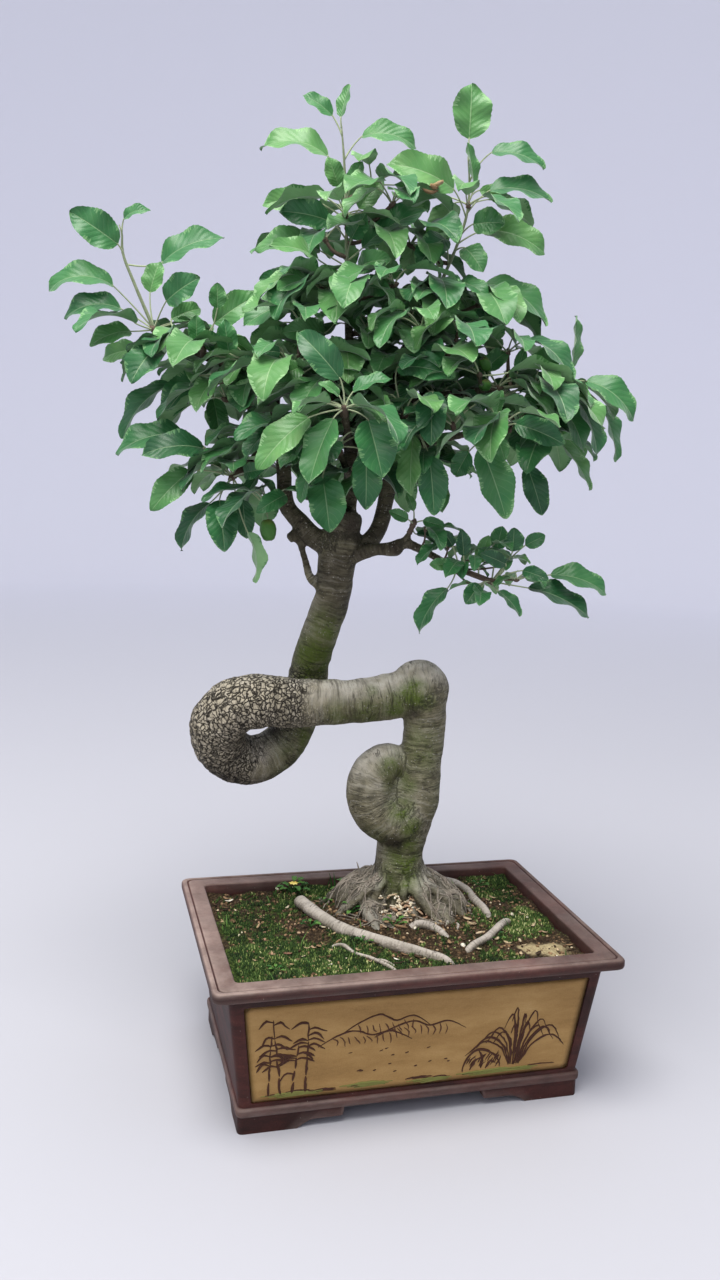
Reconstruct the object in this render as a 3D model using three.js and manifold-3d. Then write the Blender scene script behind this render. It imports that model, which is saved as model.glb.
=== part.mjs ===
// A trained apple bonsai in a rectangular unglazed clay pot. Millimetres, +Z up, front towards -Y.
import * as THREE from 'three';
import { mergeVertices } from 'three/addons/utils/BufferGeometryUtils.js';
import Module from 'manifold-3d';

const wasm = await Module();
wasm.setup();

// Driving dimensions of the pot
const RIM_LENGTH = 450;
const RIM_WIDTH = 315;
const RIM_CORNER = 9;
const RIM_LEDGE = 26;
const RIM_BAND = 12;
const BODY_INSET = 17.5;
const BODY_TAPER = 16;
const POT_HEIGHT = 174;
const FOOT_HEIGHT = 19;
const FOOT_LENGTH = 116;
const FOOT_SCROLL = 52;
const FOOT_LIP = 9;
const FOOT_THICKNESS = 24;
const MOULDING_HEIGHT = 10;
const MOULDING_OUT = 3;
const FLOOR_TOP = 38;
const WELL_CORNER = 6;
const PANEL_MARGIN = 14;
const PANEL_LOW_MARGIN = 4;
const PANEL_DEPTH = 2;
const PANEL_CORNER = 6;
const DRAIN_HOLE_RADIUS = 14;
const DRAIN_HOLE_X = 95;
const MESH_SIDE = 46;
const MESH_THICKNESS = 1.2;

// Soil, and the gap that parts keep from each other
const GAP = 0.3;
const SOIL_LEVEL = 161;
const MOUND_HEIGHT = 16;
const MOUND_SPREAD = 75;
const SOIL_ROUGHNESS = 1.6;

// The tree's own axes: u to the right, v to the back, w up from the foot, turned about the pot's upright
const TREE_FOOT = new THREE.Vector3(26, 40, 172);
const TREE_TURN = THREE.MathUtils.degToRad(-15.12);

function place(u, v, w) {
  return new THREE.Vector3(u, v, w).applyAxisAngle(new THREE.Vector3(0, 0, 1), TREE_TURN).add(TREE_FOOT);
}

function drawFrom(seed) {
  let state = seed;
  return () => {
    state = (state * 1664525 + 1013904223) % 4294967296;
    return state / 4294967296;
  };
}

// A three.js geometry as a closed solid, and back
function solidOf(geometry) {
  const bare = geometry.clone();
  bare.deleteAttribute('normal');
  bare.deleteAttribute('uv');
  const merged = mergeVertices(bare, 1e-4);
  return new wasm.Manifold(new wasm.Mesh({
    numProp: 3,
    vertProperties: merged.attributes.position.array,
    triVerts: new Uint32Array(merged.index.array),
  }));
}

function geometryOf(solid) {
  const mesh = solid.getMesh();
  const geometry = new THREE.BufferGeometry();
  geometry.setAttribute('position', new THREE.BufferAttribute(new Float32Array(mesh.vertProperties), 3));
  geometry.setIndex(new THREE.BufferAttribute(new Uint32Array(mesh.triVerts), 1));
  geometry.computeVertexNormals();
  return geometry;
}

function joined(solids) {
  return solids.reduce((whole, next) => whole.add(next));
}

const group = new THREE.Group();

function addMesh(name, solid, material) {
  const mesh = new THREE.Mesh(geometryOf(solid), material.clone());
  mesh.name = name;
  group.add(mesh);
}

// Materials
const clay = new THREE.MeshStandardMaterial({ color: '#5d4242', roughness: 0.75, metalness: 0 });
const earth = new THREE.MeshStandardMaterial({ color: '#4c4a2e', roughness: 0.95, metalness: 0 });
const plasticMesh = new THREE.MeshStandardMaterial({ color: '#2b2b2b', roughness: 0.6, metalness: 0 });
const bark = new THREE.MeshStandardMaterial({ color: '#85796a', roughness: 0.9, metalness: 0 });
const rootBark = new THREE.MeshStandardMaterial({ color: '#8d8175', roughness: 0.9, metalness: 0 });
const foliage = new THREE.MeshStandardMaterial({ color: '#3f7440', roughness: 0.55, metalness: 0 });
const appleSkin = new THREE.MeshStandardMaterial({ color: '#3e6a33', roughness: 0.45, metalness: 0 });

// Pot: the outline that its blocks share, a rectangle with rounded corners
function roundedRectangle(length, width, radius) {
  const x = length / 2;
  const y = width / 2;
  const shape = new THREE.Shape();
  shape.moveTo(-x + radius, -y);
  shape.lineTo(x - radius, -y);
  shape.absarc(x - radius, -y + radius, radius, -Math.PI / 2, 0);
  shape.lineTo(x, y - radius);
  shape.absarc(x - radius, y - radius, radius, 0, Math.PI / 2);
  shape.lineTo(-x + radius, y);
  shape.absarc(-x + radius, y - radius, radius, Math.PI / 2, Math.PI);
  shape.lineTo(-x, -y + radius);
  shape.absarc(-x + radius, -y + radius, radius, Math.PI, Math.PI * 1.5);
  return shape;
}

// A block with rounded corners from z = low to high, drawn in by taper on each side at its foot
function block(length, width, radius, low, high, taper = 0) {
  const geometry = new THREE.ExtrudeGeometry(roundedRectangle(length, width, radius), {
    depth: high - low, steps: 1, bevelEnabled: false, curveSegments: 1,
  });
  const position = geometry.attributes.position;
  for (let i = 0; i < position.count; i++) {
    const drawn = taper * (1 - position.getZ(i) / (high - low));
    position.setX(i, position.getX(i) * (1 - 2 * drawn / length));
    position.setY(i, position.getY(i) * (1 - 2 * drawn / width));
    position.setZ(i, position.getZ(i) + low);
  }
  return solidOf(geometry);
}

// The rim's section is rounded over, as a turned bead along its outer edge
function rim() {
  const shape = roundedRectangle(RIM_LENGTH - 6, RIM_WIDTH - 6, RIM_CORNER);
  const geometry = new THREE.ExtrudeGeometry(shape, {
    depth: RIM_BAND - 6, steps: 1, curveSegments: 1,
    bevelEnabled: true, bevelThickness: 3, bevelSize: 3, bevelSegments: 2,
  });
  geometry.translate(0, 0, POT_HEIGHT - RIM_BAND + 3);
  return solidOf(geometry);
}

// The opening between two feet: each end rises in a scroll from the ground to the lip of the bracket
function footOpening(span, run) {
  const lip = span / 2 - FOOT_LENGTH;
  const ground = lip + FOOT_SCROLL;
  const shape = new THREE.Shape();
  shape.moveTo(-ground, -1);
  shape.quadraticCurveTo(-ground + 8, FOOT_LIP, -ground + 22, FOOT_LIP);
  shape.lineTo(-lip - 4, FOOT_LIP);
  shape.lineTo(-lip, FOOT_HEIGHT);
  shape.lineTo(lip, FOOT_HEIGHT);
  shape.lineTo(lip + 4, FOOT_LIP);
  shape.lineTo(ground - 22, FOOT_LIP);
  shape.quadraticCurveTo(ground - 8, FOOT_LIP, ground, -1);
  const opening = new THREE.ExtrudeGeometry(shape, {
    depth: run, steps: 1, bevelEnabled: false, curveSegments: 3,
  });
  opening.rotateX(Math.PI / 2);
  opening.translate(0, run / 2, 0);
  return opening;
}

const BODY_TOP_LENGTH = RIM_LENGTH - 2 * BODY_INSET;
const BODY_TOP_WIDTH = RIM_WIDTH - 2 * BODY_INSET;
const BODY_BOTTOM_LENGTH = BODY_TOP_LENGTH - 2 * BODY_TAPER;
const BODY_BOTTOM_WIDTH = BODY_TOP_WIDTH - 2 * BODY_TAPER;
const BODY_LOW = FOOT_HEIGHT + MOULDING_HEIGHT;
const BODY_HIGH = POT_HEIGHT - RIM_BAND;
const WELL_LENGTH = RIM_LENGTH - 2 * RIM_LEDGE;
const WELL_WIDTH = RIM_WIDTH - 2 * RIM_LEDGE;

function well(shrink) {
  const length = WELL_LENGTH - 2 * shrink;
  const width = WELL_WIDTH - 2 * shrink;
  return block(length, width, WELL_CORNER, FLOOR_TOP + shrink, POT_HEIGHT + 1, BODY_TAPER);
}

// A recess on one long side: the panel that the wall's frame surrounds
function panelRecess(side) {
  const high = BODY_HIGH - PANEL_MARGIN;
  const low = BODY_LOW + PANEL_LOW_MARGIN;
  const lean = (z) => BODY_TOP_WIDTH / 2 - BODY_TAPER * (BODY_HIGH - z) / (BODY_HIGH - BODY_LOW);
  const length = BODY_TOP_LENGTH - 2 * PANEL_MARGIN - 1.2 * BODY_TAPER;
  const geometry = new THREE.ExtrudeGeometry(roundedRectangle(length, high - low, PANEL_CORNER), {
    depth: 20, steps: 1, bevelEnabled: false, curveSegments: 1,
  });
  geometry.rotateX(Math.PI / 2);
  geometry.translate(0, 20, (high + low) / 2);
  const position = geometry.attributes.position;
  for (let i = 0; i < position.count; i++) {
    const z = position.getZ(i);
    const widen = 1 + BODY_TAPER * (z - low) / (high - low) / (BODY_TOP_LENGTH / 2) * 0.9;
    position.setX(i, position.getX(i) * widen);
    position.setY(i, position.getY(i) + lean(z) - PANEL_DEPTH);
  }
  if (side < 0) geometry.rotateZ(Math.PI);
  return solidOf(geometry);
}

function buildPot() {
  const footLength = BODY_BOTTOM_LENGTH + 2 * MOULDING_OUT;
  const footWidth = BODY_BOTTOM_WIDTH + 2 * MOULDING_OUT;
  const feet = block(footLength - 4, footWidth - 4, 6, 0, FOOT_HEIGHT + 1)
    .subtract(block(footLength - 2 * FOOT_THICKNESS, footWidth - 2 * FOOT_THICKNESS, 6, -1, FOOT_HEIGHT))
    .subtract(solidOf(footOpening(footLength, RIM_WIDTH)))
    .subtract(solidOf(footOpening(footWidth + 40, RIM_LENGTH).rotateZ(Math.PI / 2)));
  const moulding = block(footLength, footWidth, 7, FOOT_HEIGHT, BODY_LOW);
  const body = block(BODY_TOP_LENGTH, BODY_TOP_WIDTH, 7, BODY_LOW - 1, BODY_HIGH + 1, BODY_TAPER);
  let pot = joined([moulding, feet, body, rim()]).subtract(well(0));
  pot = pot.subtract(panelRecess(-1)).subtract(panelRecess(1));
  for (const x of [-DRAIN_HOLE_X, DRAIN_HOLE_X]) {
    const hole = new THREE.CylinderGeometry(DRAIN_HOLE_RADIUS, DRAIN_HOLE_RADIUS, 80, 8, 1);
    hole.rotateX(Math.PI / 2);
    hole.translate(x, 0, FLOOR_TOP);
    pot = pot.subtract(solidOf(hole));
  }
  return pot;
}

// Wood: a round limb along a curve, with its own radii and a bark of low swellings
function limb(points, radii, sides, steps, { grow = 0, lumps = 0, seed = 1 } = {}) {
  const curve = new THREE.CatmullRomCurve3(points, false, 'centripetal');
  const frames = curve.computeFrenetFrames(steps, false);
  const draw = drawFrom(seed * 7919 + 17);
  const phases = [draw(), draw(), draw()].map((value) => value * 2 * Math.PI);
  const geometry = new THREE.CylinderGeometry(1, 1, 1, sides, steps);
  const position = geometry.attributes.position;
  for (let i = 0; i < position.count; i++) {
    const ring = Math.round((position.getY(i) + 0.5) * steps);
    const along = curve.getUtoTmapping(ring / steps) * (radii.length - 1);
    const lower = Math.min(Math.floor(along), radii.length - 2);
    const plain = THREE.MathUtils.lerp(radii[lower], radii[lower + 1], along - lower);
    const angle = Math.atan2(position.getX(i), position.getZ(i));
    const swelling = Math.sin(3 * angle + phases[0] + ring * 0.55) * Math.sin(ring * 0.9 + phases[1])
      + 0.6 * Math.sin(2 * angle + phases[2] - ring * 0.35);
    const radius = plain * (1 + lumps * swelling) + grow;
    const centre = curve.getPointAt(ring / steps);
    if (ring === 0) centre.addScaledVector(frames.tangents[0], -grow);
    if (ring === steps) centre.addScaledVector(frames.tangents[steps], grow);
    centre.addScaledVector(frames.binormals[ring], position.getX(i) * radius);
    centre.addScaledVector(frames.normals[ring], position.getZ(i) * radius);
    position.setXYZ(i, centre.x, centre.y, centre.z);
  }
  return geometry;
}

// Each limb of the wood: name of its start, control points [u, v, w, radius], sides and rings
const TRUNK = [
  [0, 4, -40, 27], [0, 2, -12, 38], [-1, 0, 10, 32], [-3, 0, 44, 28.5], [-2, 2, 72, 28.5], [5, 0, 105, 29],
  [14, 0, 136, 27], [17, 0, 179, 24.5], [18, 0, 228, 25.5], [14, -3, 258, 29], [6, -4, 272, 20],
];
const TRUNK_LOOP = [
  [30, -2, 260, 20], [12, -3, 262, 31], [-21, -8, 257, 28], [-69, -20, 251, 25.5], [-127, -28, 249, 27.5],
  [-170, -28, 249, 30.5], [-205, -22, 237, 32], [-224, -8, 207, 33], [-213, 6, 177, 32],
  [-184, 16, 167, 29.5], [-152, 26, 184, 26.5], [-133, 33, 216, 24.5], [-124, 33, 252, 23],
  [-118, 27, 289, 22], [-106, 18, 328, 21.5], [-95, 10, 368, 21], [-91, 5, 403, 22],
  [-87, 0, 435, 24], [-81, -4, 460, 17],
];
const LEFT_LIMB = [
  [-88, 2, 418, 12], [-119, 0, 438, 12], [-134, 0, 454, 10.5], [-150, 0, 473, 9.5], [-155, 5, 512, 8.5],
  [-160, 8, 557, 8], [-173, 10, 592, 7.5], [-208, 14, 615, 6.5], [-240, 16, 632, 5.5], [-272, 18, 646, 4.8],
  [-298, 20, 657, 4.2],
];
const CENTRE_LIMB = [
  [-86, 0, 435, 11], [-78, 10, 492, 9.5], [-80, 12, 537, 8.5], [-86, 8, 593, 7.5],
  [-85, 2, 647, 6], [-88, 0, 690, 4.5],
];
const RIGHT_LIMB = [
  [-80, 3, 420, 12], [-62, 3, 427, 11.5], [-44, 10, 450, 10.5], [-37, 14, 482, 9.5], [-31, 16, 516, 9],
  [-31, 16, 562, 8], [-30, 14, 606, 7], [-26, 12, 643, 6.5], [-9, 14, 671, 5.5], [4, 19, 702, 4.5],
];
const LOW_TWIG = [
  [-78, -5, 414, 9], [-47, -15, 427, 7], [-27, -22, 429, 8.5], [-17, -24, 436, 6], [3, -26, 430, 5],
  [26, -28, 419, 4.2], [34, -29, 415, 4],
];
const SIDE_BRANCHES = {
  b: [[-238, 16, 633, 4.5], [-243, 2, 634, 4.2], [-246, -7, 635, 3.8]],
  c: [[-208, 14, 615, 5], [-220, 26, 612, 4.4], [-229, 34, 610, 3.8]],
  d: [[-160, 8, 557, 7], [-170, 4, 543, 7.5], [-186, -2, 526, 5.5], [-204, -8, 508, 4.2]],
  e: [[-151, 0, 490, 5.5], [-160, -10, 484, 4.6], [-167, -19, 476, 3.8]],
  f: [[-80, 12, 537, 6], [-82, -20, 548, 5], [-83, -60, 559, 4.4], [-85, -101, 573, 3.8]],
  n: [[-78, 10, 505, 5.5], [-84, -25, 518, 4.6], [-90, -60, 534, 3.8]],
  q: [[-86, 8, 593, 5.5], [-112, -20, 600, 4.4], [-141, -44, 616, 3.8]],
  p: [[-32, 16, 550, 5.5], [-27, -15, 560, 4.6], [-23, -51, 572, 3.8]],
  i: [[-30, 14, 595, 6], [7, 0, 599, 5], [45, -12, 605, 4.4], [72, -18, 609, 3.8]],
  k: [[-31, 16, 533, 6], [8, -25, 549, 5], [45, -56, 558, 4.4], [71, -67, 563, 3.8]],
  l: [[-18, -24, 434, 5], [-12, -26, 443, 4], [-9, -27, 450, 3.5]],
  j: [[45, -12, 605, 4.4], [87, 0, 588, 4.2], [132, 8, 561, 3.8]],
  r: [[-26, 12, 643, 5], [-8, -12, 634, 4.2], [6, -31, 626, 3.8]],
  s: [[-173, 10, 592, 6], [-185, 50, 600, 5], [-198, 96, 612, 4]],
  t: [[-86, 8, 593, 6], [-100, 50, 610, 5], [-118, 108, 640, 4]],
  u: [[-30, 14, 606, 6], [-22, 55, 626, 5], [-14, 108, 660, 4]],
  x: [[-31, 16, 562, 6], [15, 50, 575, 5], [62, 86, 588, 4]],
  y: [[-37, 14, 482, 6], [-40, 55, 495, 5], [-52, 98, 515, 4]],
  z: [[-158, 6, 530, 6], [-158, 50, 528, 5], [-150, 92, 536, 4]],
};
const FLARE_ROOTS = [
  [[-8, 2, 30, 17], [-34, 8, 10, 14], [-62, 16, 1, 9.5], [-92, 26, -20, 5]],
  [[-8, -6, 28, 15], [-26, -24, 9, 11], [-36, -48, 1, 8], [-32, -78, -22, 5]],
  [[4, -8, 26, 14], [12, -32, 6, 10], [16, -56, -3, 7], [22, -82, -24, 4]],
  [[8, -4, 28, 15], [32, -20, 9, 11], [54, -38, 0, 8], [74, -64, -22, 4.5]],
  [[8, 4, 28, 15], [38, 12, 8, 11], [64, 22, -2, 8], [90, 30, -24, 4.5]],
  [[0, 10, 26, 14], [6, 38, 6, 10], [14, 64, -4, 7], [22, 86, -24, 4]],
];
// Shoulders of wood where the roots leave the foot: centre and half-axes along u, v, w
const FOOT_SHOULDERS = [[-38, -2, 8, 44, 30, 25], [42, -8, 3, 37, 28, 20]];
// The knob that folds up from the trunk's front, and the swellings at the elbow and behind the fold
const FOLDED_KNOB = [
  [-4, 0, 176, 16], [-22, -5, 178, 22], [-38, -8, 164, 26], [-42, -10, 139, 27.5],
  [-29, -10, 113, 28], [-5, -8, 104, 27], [14, -4, 119, 24],
];
const KNOBS = [[11, -3, 264, 35, 30, 36], [-8, 2, 126, 30, 24, 46]];
const CUT_STUB = [[-118, 2, 436, 7], [-134, 0, 442, 6], [-147, -4, 434, 6]];
const GRAFTED_STRAND = [
  [-138, 0, 436, 4], [-134, 0, 430, 4], [-127, 0, 410, 4], [-120, -2, 390, 5.5], [-106, 2, 380, 7],
];
const DEAD_SLIVER = [[-78, -10, 440, 6], [-74, -16, 466, 4], [-71, -18, 492, 1.2]];

function along(rows, sides, steps, options) {
  const points = rows.map(([u, v, w]) => place(u, v, w));
  return solidOf(limb(points, rows.map((row) => row[3]), sides, steps, options));
}

function curveOf(rows) {
  return new THREE.CatmullRomCurve3(rows.map(([u, v, w]) => place(u, v, w)), false, 'centripetal');
}

// A round swelling of the wood, its half-axes along u, v and w
function swelling(u, v, w, halfU, halfV, halfW, grow = 0) {
  const ball = new THREE.SphereGeometry(1, 8, 6);
  ball.scale(halfU + grow, halfV + grow, halfW + grow);
  ball.rotateZ(TREE_TURN);
  const at = place(u, v, w);
  ball.translate(at.x, at.y, at.z);
  return solidOf(ball);
}

function trunkFoot(grow) {
  const foot = along(TRUNK.slice(0, 5), 10, 5, { grow, lumps: 0.03, seed: 3 });
  const flares = FLARE_ROOTS.map((rows, i) => along(rows, 5, 3, { grow, lumps: 0.04, seed: 20 + i }));
  const shoulders = FOOT_SHOULDERS.map((row) => swelling(...row, grow));
  return joined([foot, ...flares, ...shoulders]);
}

function buildTrunk() {
  const parts = [
    trunkFoot(0),
    along(TRUNK.slice(3), 10, 9, { lumps: 0.035, seed: 4 }),
    along(TRUNK_LOOP, 10, 31, { lumps: 0.05, seed: 5 }),
    along(FOLDED_KNOB, 9, 9, { lumps: 0.03, seed: 10 }),
    ...KNOBS.map((row) => swelling(...row)),
    along(LEFT_LIMB, 6, 17, { lumps: 0.05, seed: 6 }),
    along(CENTRE_LIMB, 6, 9, { lumps: 0.05, seed: 7 }),
    along(RIGHT_LIMB, 6, 14, { lumps: 0.05, seed: 8 }),
    along(LOW_TWIG, 6, 7, { lumps: 0.05, seed: 9 }),
    along(CUT_STUB, 6, 2),
    along(GRAFTED_STRAND, 5, 5),
    along(DEAD_SLIVER, 4, 2),
  ];
  Object.values(SIDE_BRANCHES).forEach((rows, i) => {
    parts.push(along(rows, 5, rows.length - 1, { lumps: 0.04, seed: 40 + i }));
  });
  return joined(parts);
}

// Roots that surface away from the trunk: [u, v, height of the centre above the soil, radius]
const SURFACE_ROOTS = {
  surface_root_front: [
    [-122, -8, 10, 7.5], [-92, -52, 4, 7.5], [-60, -84, 3, 7], [-14, -114, 3, 6.5],
    [26, -130, 2, 6], [48, -141, -2, 5.5], [58, -146, -14, 4.5],
  ],
  surface_root_arch: [
    [22, 90, -14, 4], [40, 92, 0, 4.5], [66, 86, 2, 5], [85, 60, 2, 5],
    [92, 28, 2, 5], [104, -14, 1, 4.5], [108, -32, -14, 4],
  ],
  surface_root_right: [
    [138, -8, -14, 4], [124, -34, 1, 4.5], [97, -83, 2, 4.5], [76, -108, 1, 4.5], [62, -120, -14, 4],
  ],
};

function rootPoints(rows) {
  return rows.map(([u, v, lift]) => {
    const at = place(u, v, 0);
    return at.setZ(soilHeight(at.x, at.y) + lift);
  });
}

function surfaceRoot(rows, seed, grow = 0) {
  const radii = rows.map((row) => row[3]);
  return solidOf(limb(rootPoints(rows), radii, 5, rows.length + 2, { grow, lumps: 0.05, seed }));
}

function meshPlate(x, low, high, side) {
  const plate = new THREE.BoxGeometry(side, side, high - low);
  plate.translate(x, 0, (low + high) / 2);
  return solidOf(plate);
}

function soilHeight(x, y) {
  const dx = x - TREE_FOOT.x;
  const dy = y - TREE_FOOT.y + 10;
  const mound = MOUND_HEIGHT * Math.exp(-(dx * dx + dy * dy) / (2 * MOUND_SPREAD * MOUND_SPREAD));
  const rough = Math.sin(x * 0.11 + 1.3) * Math.sin(y * 0.13 + 0.4) + 0.7 * Math.sin(x * 0.047 - y * 0.06);
  return SOIL_LEVEL + mound + SOIL_ROUGHNESS * rough;
}

function buildSoil() {
  const slab = new THREE.BoxGeometry(RIM_LENGTH, RIM_WIDTH, 200, 10, 7, 1);
  const position = slab.attributes.position;
  for (let i = 0; i < position.count; i++) {
    if (position.getZ(i) > 0) position.setZ(i, soilHeight(position.getX(i), position.getY(i)));
    else position.setZ(i, 0);
  }
  let soil = well(GAP).intersect(solidOf(slab)).subtract(trunkFoot(GAP));
  Object.values(SURFACE_ROOTS).forEach((rows, i) => {
    soil = soil.subtract(surfaceRoot(rows, 70 + i, GAP));
  });
  for (const x of [-DRAIN_HOLE_X, DRAIN_HOLE_X]) {
    const room = MESH_THICKNESS + 3 * GAP;
    soil = soil.subtract(meshPlate(x, FLOOR_TOP - 1, FLOOR_TOP + room, MESH_SIDE + 2 * GAP));
  }
  const bodies = soil.decompose();
  return bodies.reduce((best, next) => (next.volume() > best.volume() ? next : best));
}

// Leaves
// Each rosette: its place, the leaves read from the front as [blade base, blade tip, width as seen,
// arch, foot], all from the rosette's centre, and the number of further leaves that a rule spreads
// round it. A leaf seen narrow is a full one turned from the viewer; a minus shows its under face.
const SHOOTS = {
  a: [[[0, 0, 0, 3.6], [-22, 0, 48, 3], [-36, 0, 83, 2.6], [-37, 0, 104, 1.8], [-40, 0, 112, 1.2]]],
  g: [[[0, 0, 0, 3.8], [-2, 0, 58, 3.2], [-4, 0, 96, 2.8], [-8, 0, 147, 2.2], [-12, 0, 182, 1.4]]],
  h: [[
    [0, 0, 0, 3.8], [12, 0, 28, 3.2], [24, 0, 60, 2.8],
    [32, 0, 90, 2.6], [33, 0, 120, 2], [30, 0, 150, 1.4],
  ]],
  i: [[[0, 0, 0, 3.6], [35, 0, 5, 3], [73, 0, 10, 2.6], [84, 0, 12, 1.6]]],
};
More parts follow.
